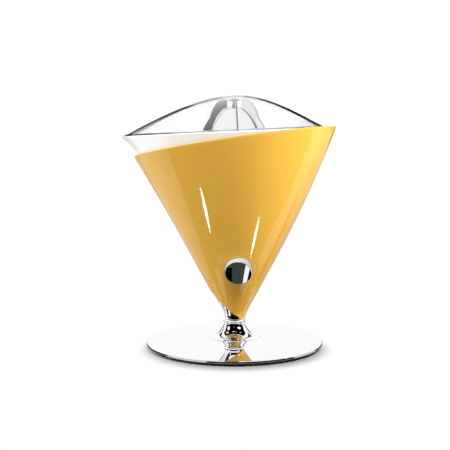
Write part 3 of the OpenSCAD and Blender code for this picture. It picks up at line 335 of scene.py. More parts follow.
def cut_z(mid_z, slope, turn, inset):
    """Height at which the skin meets a slanted plane, found by stepping towards it."""
    z = np.full(np.broadcast(turn, inset).shape, mid_z)
    for _ in range(24):
        z = mid_z + slope * (body_x(z) * np.cos(wrap_turn) + (body_r(z) - inset) * np.cos(turn - wrap_turn))
    return z


def on_skin(turn, z, inset):
    """Point of the leaning skin at a turn and height, moved inwards by the inset."""
    r = body_r(z) - inset
    return np.stack(np.broadcast_arrays(body_x(z) + r * np.cos(turn), r * np.sin(turn), z), -1)


def on_sleeve(turn, share, inset):
    """Point of the sleeve at a share of the way from its lower edge to its upper edge."""
    low = cut_z(low_mid_z, -wrap_fall, turn, inset) + edge_round
    high = cut_z(rim_z - wrap_drop, wrap_slope, turn, inset) - edge_round
    return on_skin(turn, low + (high - low) * share**row_power, inset)


turn = 2 * np.pi * np.arange(sleeve_columns) / sleeve_columns
share = np.linspace(0, 1, sleeve_rows)[:, None]
bend = np.linspace(0, np.pi, 9)[1:-1, None]
bend_inset = wrap_t / 2 * (1 - np.cos(bend))
bend_out = edge_round * (1 - np.sin(bend))
top_edge = on_skin(turn, cut_z(rim_z - wrap_drop, wrap_slope, turn, bend_inset) - bend_out, bend_inset)
low_edge = on_skin(turn, cut_z(low_mid_z, -wrap_fall, turn, bend_inset) + bend_out, bend_inset)
outside, inside = on_sleeve(turn, share, 0), on_sleeve(turn, share, wrap_t)
sleeve_grid = np.concatenate([outside, top_edge, inside[::-1], low_edge[::-1]])
sleeve_faces = quads(*sleeve_grid.shape[:2])

# A window of the grid around the button gives way to rings that shrink to the round hole
hole_column, half_window, window_reach, rings = 3 * sleeve_columns // 4, 17, 19, 14
first_column, last_column = hole_column - half_window, hole_column + half_window
window_z = outside[:, hole_column, 2]
first_row = np.searchsorted(window_z, button_z - window_reach) - 1
last_row = np.searchsorted(window_z, button_z + window_reach)
inside_end = 2 * sleeve_rows + len(bend) - 1
kept = np.ones(sleeve_faces.shape[:2], bool)
kept[first_row:last_row, first_column:last_column] = False
kept[inside_end - last_row : inside_end - first_row, first_column:last_column] = False
up_rows, along_columns = np.arange(first_row, last_row), np.arange(first_column, last_column)
down_rows, back_columns = up_rows[::-1] + 1, along_columns[::-1] + 1
at_right, at_left = np.full_like(up_rows, last_column), np.full_like(up_rows, first_column)
at_foot, at_top = np.full_like(along_columns, first_row), np.full_like(along_columns, last_row)
loop_column = np.concatenate([along_columns, at_right, back_columns, at_left])
loop_row = np.concatenate([at_foot, up_rows, at_top, down_rows])
loop_turn, loop_share = turn[loop_column], share[loop_row, 0]
centre_share = np.interp(button_z, window_z, share[:, 0])
sleeve_sheets = [(sleeve_grid, sleeve_faces[kept])]
hole_edges = []
for inset in (0, wrap_t):
    near, far = np.zeros(len(loop_turn)), np.ones(len(loop_turn))
    for _ in range(40):
        middle = (near + far) / 2
        ray_turn = turn[hole_column] + middle * (loop_turn - turn[hole_column])
        ray_share = centre_share + middle * (loop_share - centre_share)
        point = on_sleeve(ray_turn, ray_share, inset) - button_place
        off_axis = np.linalg.norm(point - (point @ button_in)[:, None] * button_in, axis=1)
        wide = off_axis > button_r + button_gap
        near, far = np.where(wide, near, middle), np.where(wide, middle, far)
    reach = near + (1 - near) * np.linspace(0, 1, rings + 1)[:, None]
    ring_turn = turn[hole_column] + reach * (loop_turn - turn[hole_column])
    patch = on_sleeve(ring_turn, centre_share + reach * (loop_share - centre_share), inset)
    sleeve_sheets.append(open_sheet(patch))
    hole_edges.append(patch[0])
sleeve_sheets.append(open_sheet(np.stack(hole_edges)))
sleeve_gloss = finish(
    "yellow_gloss", (0.715, 0.398, 0.056), 0.04, drift=0.02, patch=0.05, relief=0.000004, grain=0.002,
    IOR=1.5,
)
sleeve = shape("yellow_sleeve", sleeve_sheets, sleeve_gloss, "root", "yellow_gloss", "outer_sleeve")

# Push button
# A flat chromed knob that slides in the guide on its stem. Where it stands out of the cone it leans
# a little to the left, with a polished face. The satin shell of flat pale blue-grey over its wall is a
# painted reflection.
button_rise, button_back, stem_r, stem_end = 7.5, 3.87, 4, 17.47
face_slant, wall_lean, press_room = 0.14, 0.2, 2.4
face_round, back_round, stem_round, stem_flat_r, button_sides = 0.45, 0.2, 0.4, 0.5, 160
button_side = rounded(
    [
        (button_r / 2, -button_rise, 0), (button_r, -button_rise, face_round), (button_r, -press_room, 0),
        (button_r, button_back, back_round), (stem_r, button_back, 0), (stem_r, stem_end, stem_round),
        (stem_flat_r, stem_end, 0),
    ]
)
button_outline = np.concatenate([[[0, -button_rise]], button_side, [[0, stem_end]]])


def along_button(points):
    """Moves points from the Z axis to the button's axis, with Z pointing into the body. Beyond the
    room for the press the height grows to the right, which turns the face, and the wall leans left."""
    x, up, depth = points[..., :1], points[..., 1:2], points[..., 2:]
    beyond = np.minimum(0, depth + press_room) * (1 + face_slant * x / (button_rise - press_room))
    depth = np.maximum(depth, -press_room) + beyond
    x = x + wall_lean * beyond
    return button_place + x * np.array([1, 0, 0]) + up * button_up + depth * button_in


collar_lip, collar_step, collar_round, collar_start = 0.02, 0.1, 0.08, 1
collar_over, collar_under = 0.12, 0.5
collar_r, collar_in_r, collar_z = button_r + collar_over, button_r - collar_under, face_round - button_rise
collar_outline = rounded(
    [
        (button_r + collar_lip, collar_z, 0), (collar_r, collar_z + collar_step, collar_round),
        (collar_r, -press_room, 0), (collar_r, button_back, collar_round), (collar_in_r, button_back, 0),
        (collar_in_r, -press_room, 0), (collar_in_r, collar_start - button_rise, 0),
    ]
)
# Painted reflection: the collar's flat pale blue-grey stands in for what the chrome wall reflects
painted_reflection_collar = finish("collar_painted_reflection", (0.33, 0.37, 0.42), 0.35, drift=0.04, patch=0.004)
collar_sheet = closed_sheet(along_button(lathe(collar_outline, button_sides)))
shape("button_collar", [collar_sheet], painted_reflection_collar, "button", "chrome")
button_sheet = open_sheet(along_button(lathe(button_outline, button_sides)))
shape("push_button", [button_sheet], chrome, "button", "chrome", "button")

# Button guide, spring, power switch and control board
# The guide is a black moulding that carries the switch between two arms; a drawn steel spring
# returns the button. The lacquered board lies below, in the narrow end of the chassis.
spring_steel = finish("spring_steel", (0.52, 0.53, 0.55), 0.3, metal=1.0, drift=0.1, patch=0.003)
cream_plastic = finish("cream_plastic", (0.76, 0.73, 0.64), 0.45, relief=0.0001)
board_green = finish(
    "board_green", (0.03, 0.18, 0.08), 0.35, drift=0.25, patch=0.004, lay=("X", 0.0012, 0.00005)
)
dress(black_plastic, "button_guide")
dress(spring_steel, "button_spring")
dress(cream_plastic, "power_switch")
dress(board_green, "control_board")

# Motor
# A plated steel can with a black end cap, sintered bronze bushes, a stack of stator sheets with
# enamelled copper windings, and a rotor on a ground shaft with a bronze pinion.
can_steel = finish(
    "can_steel", (0.4, 0.41, 0.43), 0.3, metal=1.0, drift=0.1, patch=0.01, lay=("Z", 0.0004, 0.00002)
)
sheet_steel = finish(
    "sheet_steel", (0.3, 0.3, 0.32), 0.4, metal=0.9, drift=0.12, patch=0.006, lay=("Z", 0.0006, 0.0001)
)
bronze = finish(
    "bronze", (0.62, 0.42, 0.19), 0.4, metal=1.0, drift=0.12, patch=0.003, relief=0.0001, grain=0.0004
)
copper = finish(
    "copper_wire", (0.72, 0.3, 0.12), 0.3, metal=1.0, drift=0.2, patch=0.002, lay=("Z", 0.0005, 0.0002)
)
dress(can_steel, "motor_can")
dress(sheet_steel, "stator_core", "motor_rotor")
dress(black_plastic, "motor_cap")
dress(bronze, "motor_bushes", "motor_pinion")
dress(copper, "stator_windings")

# Gearbox
# A zinc-plated plate with a pressed-in pin carries the idler; both wheels are moulded nylon. The
# small start switch sits under the output wheel.
gear_nylon = finish("gear_nylon", (0.84, 0.81, 0.7), 0.42, drift=0.05, patch=0.006, relief=0.0001)
dress(zinc, "gearbox_plate")
dress(spring_steel, "idler_pin")
dress(gear_nylon, "idler_gear", "output_gear")
dress(cream_plastic, "start_switch")

# Deck and drive shaft
# The dark grey deck closes the body under the bowl. In its tube the spring lifts the bronze bearing
# and the steel shaft, which a circlip holds in the bearing.
dress(grey_plastic, "deck")
shaft_steel = finish(
    "shaft_steel", (0.6, 0.61, 0.62), 0.2, metal=1.0, drift=0.05, patch=0.005, lay=("Z", 0.0003, 0.00001)
)
dress(spring_steel, "shaft_spring")
dress(shaft_steel, "drive_shaft")
dress(bronze, "sliding_bearing")
dress(zinc, "shaft_circlip")

# Bowl
# White gloss moulding with a tilted rim, a pouring lip to the left, a ledge for the lid, a foot
# ring and a central tube that fits over the tube of the deck.
bowl_t, bowl_inset, ledge_t = 2.2, 5.5, 2.5
rim_tilt, spout_lip, spout_rise, spout_power = 0.0438, 6.5, 15, 12
lid_step, lid_seat = 5, 2.6
hub_r, hub_wall, hub_round, hub_clear = 13.3, 2.4, 0.6, 4.3
hub_top_z = span("reamer")[0][2] - hub_clear
bowl_foot_r, foot_round, floor_edge, floor_fillet, rim_edge = 60, 0.4, 0.8, 1.5, 0.8
bowl_floor_z = bowl_z + bowl_t
bowl_rim_r = body_r(rim_z) - bowl_inset
lid_r, lid_beak = bowl_rim_r - lid_step, spout_lip - 1
shell_columns = 240
shell_turn = 2 * np.pi * np.arange(shell_columns) / shell_columns
spout = np.maximum(0, -np.cos(shell_turn)) ** spout_power


def rim_plane(x):
    """Height of the tilted rim: it rises away from the spout."""
    return rim_z + rim_tilt * x


bowl_rim_at = rim_plane(body_x(rim_z) + (bowl_rim_r + spout_lip * spout) * np.cos(shell_turn))


def bowl_wall(z, inset):
    """Ring of the bowl's wall: the skin's cone moved inwards, with the lip's flare near the rim."""
    lip = spout_lip * spout * np.maximum(0, 1 - (bowl_rim_at - z) / spout_rise) ** 2
    r = body_r(z) - bowl_inset + lip - inset
    return np.stack(np.broadcast_arrays(body_x(z) + r * np.cos(shell_turn), r * np.sin(shell_turn), z), -1)


def rim_ring(share, height):
    """Ring on the tilted rim plane: the lid's outline scaled about the axis, at a height over it."""
    r = lid_r + lid_beak * spout
    x = share * (body_x(rim_z) + r * np.cos(shell_turn))
    return np.stack(np.broadcast_arrays(x, share * r * np.sin(shell_turn), rim_plane(x) + height), -1)


wall_share = np.linspace(0, 1, 41)[:, None]
outside_z, inside_z = bowl_z + floor_edge, bowl_floor_z + floor_fillet
bowl_outside = bowl_wall(outside_z + (bowl_rim_at - rim_edge - outside_z) * wall_share, 0)
over_rim = np.linspace(0, np.pi / 2, 7)[1:, None]
bowl_lip = bowl_wall(bowl_rim_at - rim_edge * (1 - np.sin(over_rim)), rim_edge * (1 - np.cos(over_rim)))
ledge_share = 1 - lid_seat / lid_r
ledge = rim_ring(np.array([ledge_share, ledge_share])[:, None], np.array([0, -ledge_t])[:, None])
bowl_inside = bowl_wall(inside_z + (bowl_rim_at - 2 * ledge_t - inside_z) * wall_share[::-1], bowl_t)
foot_z, foot_side_r = bowl_z - bowl_foot_h, bowl_foot_r + bowl_t
bowl_foot = rounded(
    [
        (hub_r, bowl_z, 0), (bowl_foot_r, bowl_z, 0), (bowl_foot_r, foot_z, foot_round),
        (foot_side_r, foot_z, foot_round), (foot_side_r, bowl_z, 0),
    ]
)
bowl_hub = rounded(
    [
        (bowl_foot_r, bowl_floor_z, 0), (hub_r + hub_wall, bowl_floor_z, floor_fillet),
        (hub_r + hub_wall, hub_top_z, hub_round), (hub_r, hub_top_z, hub_round), (hub_r, bowl_z, 0),
    ]
)[:-1]
under_edge = bowl_wall(np.array([[bowl_z]]), floor_edge)
floor_rim = bowl_wall(np.array([[bowl_floor_z]]), bowl_t + floor_fillet)
bowl_grid = np.concatenate(
    [
        lathe(bowl_foot, shell_columns), under_edge, bowl_outside, bowl_lip, ledge, bowl_inside,
        floor_rim, lathe(bowl_hub, shell_columns),
    ]
)
bowl_white = finish(
    "bowl_white", (0.89, 0.9, 0.905), 0.12, drift=0.012, patch=0.04, relief=0.000008, grain=0.003, IOR=1.48
)
shape("juice_bowl", [closed_sheet(bowl_grid)], bowl_white, "bowl", "bowl_white", "bowl")

# Strainer
# Brushed stainless steel, pressed with two rings of slots and a collar at each edge. It lies in
# the bowl's cone around the reamer.
strainer_steel = finish(
    "strainer_steel", (0.7, 0.71, 0.72), 0.3, metal=1.0, drift=0.05, patch=0.03,
    lay=("RINGS", 0.003, 0.000006),
)
dress(strainer_steel, "strainer")

# Reamer and its core
# The reamer is a polished dome with a wide skirt and four upright fins around a small headed pin.
# Near-black metal on the fins' edges and on the pin is a painted dark reflection that outlines them.
# A white moulded core inside it takes the hexagon of the shaft.
reamer_low, reamer_high = span("reamer")
reamer_z, reamer_r, skirt_t = reamer_low[2], reamer_high[0], 1.0
dome_h, dome_flat_r, dome_edge = 41.6, 13.1, 2
waist_r, waist_share, pull_r_share, pull_share = 27.4, 0.35, 0.83, 0.72
core_foot_r, core_top_r, core_top_z = 28.4, 11, span("reamer_core")[1][2] + 0.05
fin_t, fin_inset, fin_belly, fin_bulge, fin_end_r = 1.4, 1.5, 5.5, 2.4, 7.8
fin_side_h, fin_shoulder_r, fin_top_r, fin_top_z = 30, 27.6, 11, reamer_high[2] + 1.2
fin_end_fall, fin_end_lean, fin_end_depth, edge_over = 0.2, 0.6, 1.5, 0.06
spine_r, spine_fall, spine_foot, spine_depth = 10.0, 8, 1.2, 5
pin_foot_r, pin_neck_r, pin_under_r, pin_head_r, pin_flat_r = 2.6, 1.5, 1.8, 5.7, 0.5


def bezier(start, control, end, steps=25):
    """Quadratic curve from start to end, pulled towards the control point."""
    t = np.linspace(0, 1, steps)[:, None]
    return np.array(start) * (1 - t) ** 2 + 2 * np.array(control) * t * (1 - t) + np.array(end) * t**2


waist = [waist_r, reamer_z + waist_share * dome_h]
dome_pull = [pull_r_share * waist_r, reamer_z + pull_share * dome_h]
dome_top_z = reamer_z + dome_h
skirt_curve = bezier([reamer_r, reamer_z + skirt_t], [waist_r + 2 * skirt_t, reamer_z + 3 * skirt_t], waist)
dome_curve = bezier(waist, dome_pull, [dome_flat_r, dome_top_z - dome_edge])
crown_curve = bezier(dome_curve[-1], [dome_flat_r - dome_edge, dome_top_z], [0, dome_top_z])
core_seat = [[0, core_top_z], [core_top_r, core_top_z], [core_foot_r, reamer_z], [reamer_r, reamer_z]]
dome_outline = np.concatenate([core_seat, skirt_curve, dome_curve[1:], crown_curve[1:]])
fin_foot = np.array([reamer_r - fin_inset, reamer_z + fin_inset])
fin_shoulder = np.array([fin_shoulder_r, reamer_z + fin_side_h])
fin_side = bezier(fin_foot, (fin_foot + fin_shoulder) / 2 + [fin_belly, 0], fin_shoulder)
fin_corner = [(fin_shoulder_r + fin_top_r) / 2 + fin_bulge, fin_top_z]
fin_top = bezier(fin_shoulder, fin_corner, [fin_top_r, fin_top_z])
fin_end = [[fin_end_r, fin_top_z - fin_end_fall], [fin_end_r + fin_end_lean, dome_top_z - fin_end_depth]]
fin_edge = np.concatenate([fin_side, fin_top[1:], fin_end])
fin_round = fin_t / 2
fin_flank = 1.5 * fin_round
spine_z = np.clip(fin_edge[:, 1] - spine_fall, reamer_z + spine_foot, dome_top_z - spine_depth)
spine = np.stack([np.full(len(fin_edge), spine_r), spine_z], -1)
inward = spine - fin_edge
inward /= np.linalg.norm(inward, axis=1, keepdims=True)
half_turn = np.linspace(-np.pi / 2, np.pi / 2, 9)


def fin_sheets(across, depth, ends_at_spine):
    """Four upright fins, a quarter turn apart: each section follows the fin's edge, with offsets
    across it and depths from it, and both ends close at the middle of their section."""
    plane = fin_edge[:, None] + inward[:, None] * depth[None, :, None]
    if ends_at_spine:
        plane[:, 0] = plane[:, -1] = spine
    plate = np.concatenate([plane, np.broadcast_to(across[:, None], (*plane.shape[:2], 1))], -1)
    first, last = (plate[:1] * 0 + plate[end].mean(0) for end in (0, -1))
    out, height, side = np.moveaxis(np.concatenate([first, plate, last]), -1, 0)
    sheets = []
    for quarter in range(4):
        c, s = np.round([np.cos(quarter * np.pi / 2), np.sin(quarter * np.pi / 2)])
        fin = np.stack([out * c - side * s, out * s + side * c, height], -1)
        sheets.append(open_sheet(fin))
    return sheets


fins = fin_sheets(
    np.concatenate([[-fin_round] * 2, fin_round * np.sin(half_turn), [fin_round] * 2]),
    np.concatenate([[0, fin_flank], fin_round * (1 - np.cos(half_turn)), [fin_flank, 0]]), True,
)
# Thin shells over the fins' rounded edges, for the painted dark outlines
painted_edge_round = fin_round + edge_over
painted_dark_edges = fin_sheets(
    painted_edge_round * np.sin(half_turn), painted_edge_round * (1 - np.cos(half_turn)) - edge_over, False
)
pin_foot_z, pin_top_z = dome_top_z - 1, fin_top_z - 0.4
pin_side = rounded(
    [
        (pin_foot_r, pin_foot_z, 0), (pin_neck_r, pin_top_z - 3.6, 1), (pin_under_r, pin_top_z - 2.8, 0.5),
        (pin_head_r, pin_top_z - 2.4, 0.4), (pin_head_r, pin_top_z - 0.2, 0.4), (pin_flat_r, pin_top_z, 0),
    ]
)
pin_outline = np.concatenate([[[0, pin_foot_z]], pin_side, [[0, pin_top_z]]])
reamer_polish = finish("reamer_polish", (0.88, 0.89, 0.9), 0.035, metal=1.0, drift=0.02, patch=0.015)
dome_sheet = open_sheet(lathe(dome_outline))
shape("finned_reamer", [dome_sheet, *fins], reamer_polish, "reamer", "reamer_polish", "reamer")
# Painted dark reflection: near-black metal on the fins' edges and the pin draws dark outlines
dark_edge_painted_steel = finish("dark_edge_painted_steel", (0.07, 0.073, 0.08), 0.25, metal=1.0, drift=0.1, patch=0.003)
shape("reamer_edges", painted_dark_edges, dark_edge_painted_steel, "reamer", "reamer_polish")
shape("reamer_pin", [open_sheet(lathe(pin_outline, 96))], dark_edge_painted_steel, "reamer", "reamer_polish")
core_white = finish("core_white", (0.88, 0.87, 0.84), 0.4, relief=0.0001)
dress(core_white, "reamer_core")

# Lid
# A clear moulded dome that follows the rim's outline and its beak, polished on both sides, with a
# lip that centres it in the bowl.
lid_h, lid_edge, lid_slope, lid_t, lid_lip, lid_rest = 40.3, 0.8, 0.65, 2.2, 2.5, 0.2
lip_t, lip_gap, edge_w, edge_drop, row_crowding = 0.8, 0.6, 0.5, 0.4, 1.2
lid_rise = lid_h - lid_edge
lid_bend = ((lid_slope * lid_r) ** 2 - lid_rise**2) / (2 * lid_rise)


def lid_top(share):
    """Height of the lid over the rim plane: a hyperbola, round at the apex and straight at the skirt."""
    return lid_h + lid_bend - np.sqrt((lid_slope * lid_r * share) ** 2 + lid_bend**2)


lip_share = ledge_share - lip_gap / lid_r
lip_in_share = lip_share - lip_t / lid_r
dome_share = np.linspace(0, 1, 65)[:, None] ** row_crowding
edge_share = 1 - edge_w / lid_r
lid_outside = rim_ring(dome_share * edge_share, lid_top(dome_share * edge_share))
lid_rim = rim_ring(
    np.array([1, 1, lip_share, lip_share, lip_in_share])[:, None],
    np.array([lid_top(1) - edge_drop, lid_rest, lid_rest, -lid_lip, -lid_lip])[:, None],
)
lid_inside = rim_ring(dome_share[::-1] * lip_in_share, lid_top(dome_share[::-1] * lip_in_share) - lid_t)
lid_grid = np.concatenate([lid_outside, lid_rim, lid_inside])
lid_clear = finish(
    "lid_clear", (1.0, 1.0, 1.0), 0.01, drift=0.0, patch=0.05, IOR=1.49, Transmission_Weight=1.0,
    Specular_Tint=(0.3, 0.3, 0.3, 1),
)
shape("clear_lid", [open_sheet(lid_grid)], lid_clear, "lid", "lid_clear", "lid").visible_shadow = False

# Studio
# A white sweep with a soft contact shadow and a white surround. Polished surfaces alone see the
# black flags and white cards; soft lamps light the rest. The camera stands as in the photograph.
scene = bpy.context.scene
scene.view_settings.view_transform = "Standard"


def bright_rays(nodes, links):
    """Factor that is 1 for camera, glossy and transmission rays, and 0 for the rest."""
    path = nodes.new("ShaderNodeLightPath")
    total = path.outputs["Is Camera Ray"]
    for ray in ("Is Glossy Ray", "Is Transmission Ray"):
        either = nodes.new("ShaderNodeMath")
        either.operation = "MAXIMUM"
        links.new(total, either.inputs[0])
        links.new(path.outputs[ray], either.inputs[1])
        total = either.outputs["Value"]
    return total


world = bpy.data.worlds.new("white_surround")
scene.world = world
world.use_nodes = True
nodes, links = world.node_tree.nodes, world.node_tree.links
ambient = nodes["Background"]
ambient.inputs["Color"].default_value = (1, 1, 1, 1)
ambient.inputs["Strength"].default_value = 0.34
bright = nodes.new("ShaderNodeBackground")
bright.inputs["Color"].default_value = (1, 1, 1, 1)
bright.inputs["Strength"].default_value = 1
mix = nodes.new("ShaderNodeMixShader")
links.new(bright_rays(nodes, links), mix.inputs["Fac"])
links.new(ambient.outputs["Background"], mix.inputs[1])
links.new(bright.outputs["Background"], mix.inputs[2])
links.new(mix.outputs["Shader"], nodes["World Output"].inputs["Surface"])


def stage_sheet(name, points, faces):
    """Stage piece from points in millimetres."""
    mesh = bpy.data.meshes.new(name)
    mesh.from_pydata(np.array(points, float).reshape(-1, 3) / 1000, [], faces)
    made = bpy.data.objects.new(name, mesh)
    scene.collection.objects.link(made)
    return made


floor_r = 4000
floor_corners = [(x * floor_r, y * floor_r, 0) for x, y in ((-1, -1), (1, -1), (1, 1), (-1, 1))]
floor = stage_sheet("floor", floor_corners, [[0, 1, 2, 3]])
sweep_white = bpy.data.materials.new("white_sweep")
sweep_white.use_nodes = True
nodes, links = sweep_white.node_tree.nodes, sweep_white.node_tree.links
nodes.remove(nodes["Principled BSDF"])
bounce = nodes.new("ShaderNodeBsdfDiffuse")
bounce.inputs["Color"].default_value = (0.13, 0.13, 0.13, 1)
matte = nodes.new("ShaderNodeBsdfDiffuse")
matte.inputs["Color"].default_value = (0.25, 0.25, 0.26, 1)
glow = nodes.new("ShaderNodeEmission")
place = nodes.new("ShaderNodeTexCoord")
offset = nodes.new("ShaderNodeMapping")
offset.inputs["Location"].default_value = (0, 0.012, 0)
links.new(place.outputs["Object"], offset.inputs["Vector"])
distance = nodes.new("ShaderNodeVectorMath")
distance.operation = "LENGTH"
links.new(offset.outputs["Vector"], distance.inputs[0])
fade = nodes.new("ShaderNodeMapRange")
fade.interpolation_type = "SMOOTHSTEP"
fade.inputs["From Min"].default_value = 0.088
fade.inputs["From Max"].default_value = 0.113
links.new(distance.outputs["Value"], fade.inputs["Value"])
shadow_zone = nodes.new("ShaderNodeMixShader")
links.new(fade.outputs["Result"], shadow_zone.inputs["Fac"])
links.new(matte.outputs["BSDF"], shadow_zone.inputs[1])
links.new(glow.outputs["Emission"], shadow_zone.inputs[2])
ground = nodes.new("ShaderNodeMixShader")
links.new(bright_rays(nodes, links), ground.inputs["Fac"])
links.new(bounce.outputs["BSDF"], ground.inputs[1])
links.new(shadow_zone.outputs["Shader"], ground.inputs[2])
links.new(ground.outputs["Shader"], nodes["Material Output"].inputs["Surface"])
floor.data.materials.append(sweep_white)


def light_only(source, piece):
    """Lets a lamp or a card shine on one piece alone."""
    lit = bpy.data.collections.new("lit_by_" + source.name)
    lit.objects.link(piece)
    source.light_linking.receiver_collection = lit


def card(name, points, faces, strength, white_for=None, in_glass=False, in_mirrors=True):
    """Flag or white card that polished surfaces see. In glass it also shows through the clear lid, where
    a straight look passes it by. A card that is white for one piece is white in that piece's first
    reflection and black for the others, and in glass its strength is the share of light it lets by.
    What a mirror throws on from a bright card to a matte surface is held down, to leave no sparkle."""
    made = stage_sheet(name, points, faces)
    paint = bpy.data.materials.new(name)
    paint.use_nodes = True
    nodes, links = paint.node_tree.nodes, paint.node_tree.links
    nodes.remove(nodes["Principled BSDF"])
    light = nodes.new("ShaderNodeEmission")
    path = nodes.new("ShaderNodeLightPath")
    level = nodes.new("ShaderNodeMapRange")
    if white_for:
        level.inputs["From Min"].default_value = 1
        level.inputs["From Max"].default_value = 2
        level.inputs["To Min"].default_value = 1
        level.inputs["To Max"].default_value = strength
        links.new(path.outputs["Glossy Depth"], level.inputs["Value"])
        light_only(made, white_for)
    else:
        level.inputs["To Min"].default_value = strength
        level.inputs["To Max"].default_value = min(strength, 1)
        links.new(path.outputs["Diffuse Depth"], level.inputs["Value"])
    links.new(level.outputs["Result"], light.inputs["Strength"])
    surface = light.outputs["Emission"]
    if in_glass:
        passed_by = nodes.new("ShaderNodeBsdfTransparent")
        density = nodes.new("ShaderNodeMath")
        density.operation = "MULTIPLY"
        links.new(path.outputs["Glossy Depth"], density.inputs[0])
        density.inputs[1].default_value = 1 - strength if white_for else 1
        reflected = nodes.new("ShaderNodeMixShader")
        links.new(density.outputs["Value"], reflected.inputs["Fac"])
        links.new(passed_by.outputs["BSDF"], reflected.inputs[1])
        links.new(surface, reflected.inputs[2])
        surface = reflected.outputs["Shader"]
    links.new(surface, nodes["Material Output"].inputs["Surface"])
    made.data.materials.append(paint)
    made.visible_camera = made.visible_diffuse = False
    made.visible_shadow = made.visible_volume_scatter = False
    made.visible_transmission = in_glass
    made.visible_glossy = in_mirrors
    return made


def flat_card(name, z, outline, strength, **rays):
    """Level card of a given outline (x, y)."""
    return card(name, [(x, y, z) for x, y in outline], [list(range(len(outline)))], strength, **rays)


def upright_card(name, y, left, right, low, high, strength, **rays):
    """Card that stands square to the camera's side."""
    corners = [(left, y, low), (right, y, low), (right, y, high), (left, y, high)]
    return card(name, corners, [[0, 1, 2, 3]], strength, **rays)


def ring_card(name, inner, outer, strength, first=0, last=360, sides=72, **rays):
    """Ring, or sector of a ring, between two circles given as (r, z)."""
    angle = np.radians(np.linspace(first, last, sides + 1))
    level = np.ones(sides + 1)
    points = [np.stack([r * np.cos(angle), r * np.sin(angle), z * level], -1) for r, z in (inner, outer)]
    faces = [[i, i + 1, sides + 2 + i, sides + 1 + i] for i in range(sides)]
    return card(name, points, faces, strength, **rays)


def oval_card(name, x, y, z, turn, half_length, half_width, strength, sides=32, **rays):
    """Level oval lamp face, with its length turned by an angle from the X axis."""
    angle, turn = 2 * np.pi * np.arange(sides) / sides, np.radians(turn)
    along, across = half_length * np.cos(angle), half_width * np.sin(angle)
    oval_x = x + along * np.cos(turn) - across * np.sin(turn)
    oval_y = y + along * np.sin(turn) + across * np.cos(turn)
    return flat_card(name, z, np.stack([oval_x, oval_y], -1), strength, **rays)


def lens_card(name, z, start, end, width, strength, steps=12, taper=0.8):
    """Streak of light: a strip whose width swells from its ends as a power of the sine."""
    start, end = np.array(start), np.array(end)
    ahead = (end - start) / np.linalg.norm(end - start)
    side = np.array([-ahead[1], ahead[0]]) * width / 2
    t = np.linspace(0, 1, steps)[:, None]
    middle, swell = start + (end - start) * t, np.sin(np.pi * t) ** taper
    outline = np.concatenate([middle + side * swell, (middle - side * swell)[::-1]])
    return flat_card(name, z, outline, strength)


# The table as polished surfaces see it: dark in front, grey behind, with glints beside the disc's rim
table_z, table_r, far_r, rim_side_r = 2.5, 900, 3500, 101
ring_card("front_table", (rim_side_r, table_z), (table_r, table_z), 0.02, first=160, last=380)
ring_card("back_table", (rim_side_r, table_z), (table_r, table_z), 0.5, first=20, last=160)
ring_card("far_table", (table_r, table_z), (far_r, table_z), 0.5)
glint_z, glint_r, horizon_r, horizon_z = 2.8, 112, 3000, 600
ring_card("left_rim_glint", (rim_side_r, glint_z), (glint_r, glint_z), 0.6, first=215, last=246)
ring_card("right_rim_glint", (rim_side_r, glint_z), (glint_r, glint_z), 0.6, first=306, last=330)
ring_card("left_horizon", (horizon_r, table_z), (horizon_r, horizon_z), 0.08, first=103, last=127)
ring_card("right_horizon", (horizon_r, table_z), (horizon_r, horizon_z), 0.08, first=45, last=68)
# A dark roof over the front, for the pedestal and the neck
roof_z = 238
strip_z, oval_z = roof_z - 1, roof_z - 2
ring_card("roof_flag", (128, roof_z), (650, roof_z), 0, first=164, last=370, white_for=disc)
# Bright bands and streaks low down, for the gloss of the sleeve
band_z, streak_z, low_strip_z = 4, 5, 7
flat_card("left_band", band_z, [(-100, 18), (-700, -170), (-900, 480), (-190, 560)], 0.8)
right_band = [(105, -55), (170, -60), (560, 38), (900, 120), (850, 450), (320, 80), (110, -8)]
flat_card("right_band", band_z, right_band, 0.9)
lens_card("left_streak", streak_z, (-169, -137), (-119, -84), 17, 20)
lens_card("right_streak", streak_z, (118, -142), (64, -87), 14, 17)
# Lamp faces and strips under the roof and low in front, for the pedestal and the button's face
oval_card("left_lamp", -276, -72, oval_z, -50, 75, 40, 1.2)
oval_card("right_lamp", 199, -165, oval_z, 30, 92, 42, 1.2)
oval_card("upper_dot", -218, -67, oval_z, -70, 50, 24, 1.2)
oval_card("lower_dot", -329, -94, oval_z, -70, 50, 24, 1.2)
grey_strip = [(-61, -225), (-39, -225), (-43.5, -280), (-72.5, -280)]
flat_card("grey_strip", strip_z, grey_strip, 0.05, white_for=disc)
flat_card("white_strip", strip_z, [(-39, -225), (-31.5, -225), (-33, -280), (-43.5, -280)], 1)
grey_strip_low = [(-21.5, -98.5), (-5.5, -98.5), (-7, -113), (-24.5, -113)]
flat_card("grey_strip_low", low_strip_z, grey_strip_low, 0.05)
flat_card("white_strip_low", low_strip_z, [(-5.5, -98.5), (0.1, -98.5), (0, -113), (-7, -113)], 1)
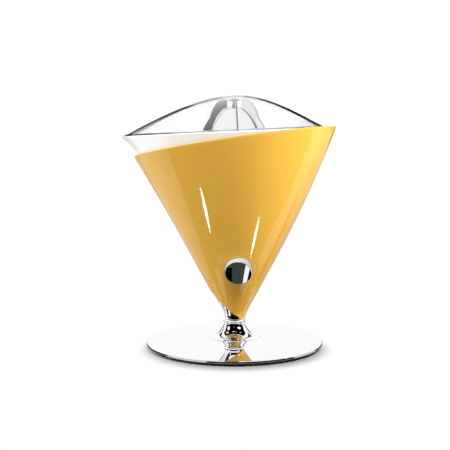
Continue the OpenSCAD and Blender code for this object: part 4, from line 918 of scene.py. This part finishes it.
# Flags and veils behind the lid, which darken its edges
behind_lid_y = 300
for name, left, right, low, high, strength in (
    ("lid_flag_left", -420, -55, 300, 390, 0.05),
    ("lid_veil_left", -55, 5, 300, 390, 0.5),
    ("lid_flag_right", 78, 420, 300, 390, 0),
    ("lid_veil_right", 48, 78, 300, 390, 0.5),
    ("side_flag_left", -420, -175, 190, 330, 0.1),
    ("side_flag_right", 165, 420, 190, 330, 0.1),
):
    upright_card(name, behind_lid_y, left, right, low, high, strength, white_for=disc, in_glass=True)
# A dark surround that shows through the lid alone, for the outlines of the reamer and the dome
surround_r = 1500
for name, low, high, first, last in (
    ("reamer_surround_left", 50, 580, 102, 276),
    ("reamer_surround_right", 50, 580, -79, 66),
    ("dome_outline_left", 580, 2800, 102, 134),
    ("dome_outline_right", 580, 2800, 34, 66),
):
    ring_card(name, (surround_r, low), (surround_r, high), 0, first, last, in_glass=True, in_mirrors=False)


def lamp(name, place, aim, size, power):
    """Soft square lamp that lights matte colour and leaves no patch in polished or clear surfaces."""
    light = bpy.data.lights.new(name, "AREA")
    light.shape, light.size, light.energy = "SQUARE", size, power
    made = bpy.data.objects.new(name, light)
    scene.collection.objects.link(made)
    made.location = place
    made.rotation_euler = (Vector(aim) - Vector(place)).to_track_quat("-Z", "Y").to_euler()
    made.visible_glossy = made.visible_transmission = made.visible_camera = False
    return made


lamp("left_softbox", (-0.9, -0.15, 0.45), (0, 0, 0.15), 0.4, 8.6)
right_lamp = lamp("right_softbox", (0.35, -0.15, 0.26), (0.06, -0.08, 0.2), 0.2, 1.5)
lamp("front_softbox", (0.18, -0.9, 1.18), (0, 0, 0.1), 0.54, 33)
shadow_lamp = lamp("shadow_softbox", (0.05, 0.45, 3), (0, 0, 0), 0.6, 190)
light_only(right_lamp, sleeve)
light_only(shadow_lamp, floor)

camera_data = bpy.data.cameras.new("photo_camera")
camera_data.sensor_width, camera_data.lens = 36, 70.72
camera_data.shift_x = -0.0209
camera = bpy.data.objects.new("photo_camera", camera_data)
scene.collection.objects.link(camera)
camera_turn, camera_fall = np.radians(5.9), np.radians(5.49)
ahead = np.array([np.sin(camera_turn), np.cos(camera_turn), -np.tan(camera_fall)])
camera.location = (-0.1024, -0.9907, 0.234)
camera.rotation_euler = Vector(ahead).to_track_quat("-Z", "Y").to_euler()
scene.camera = camera
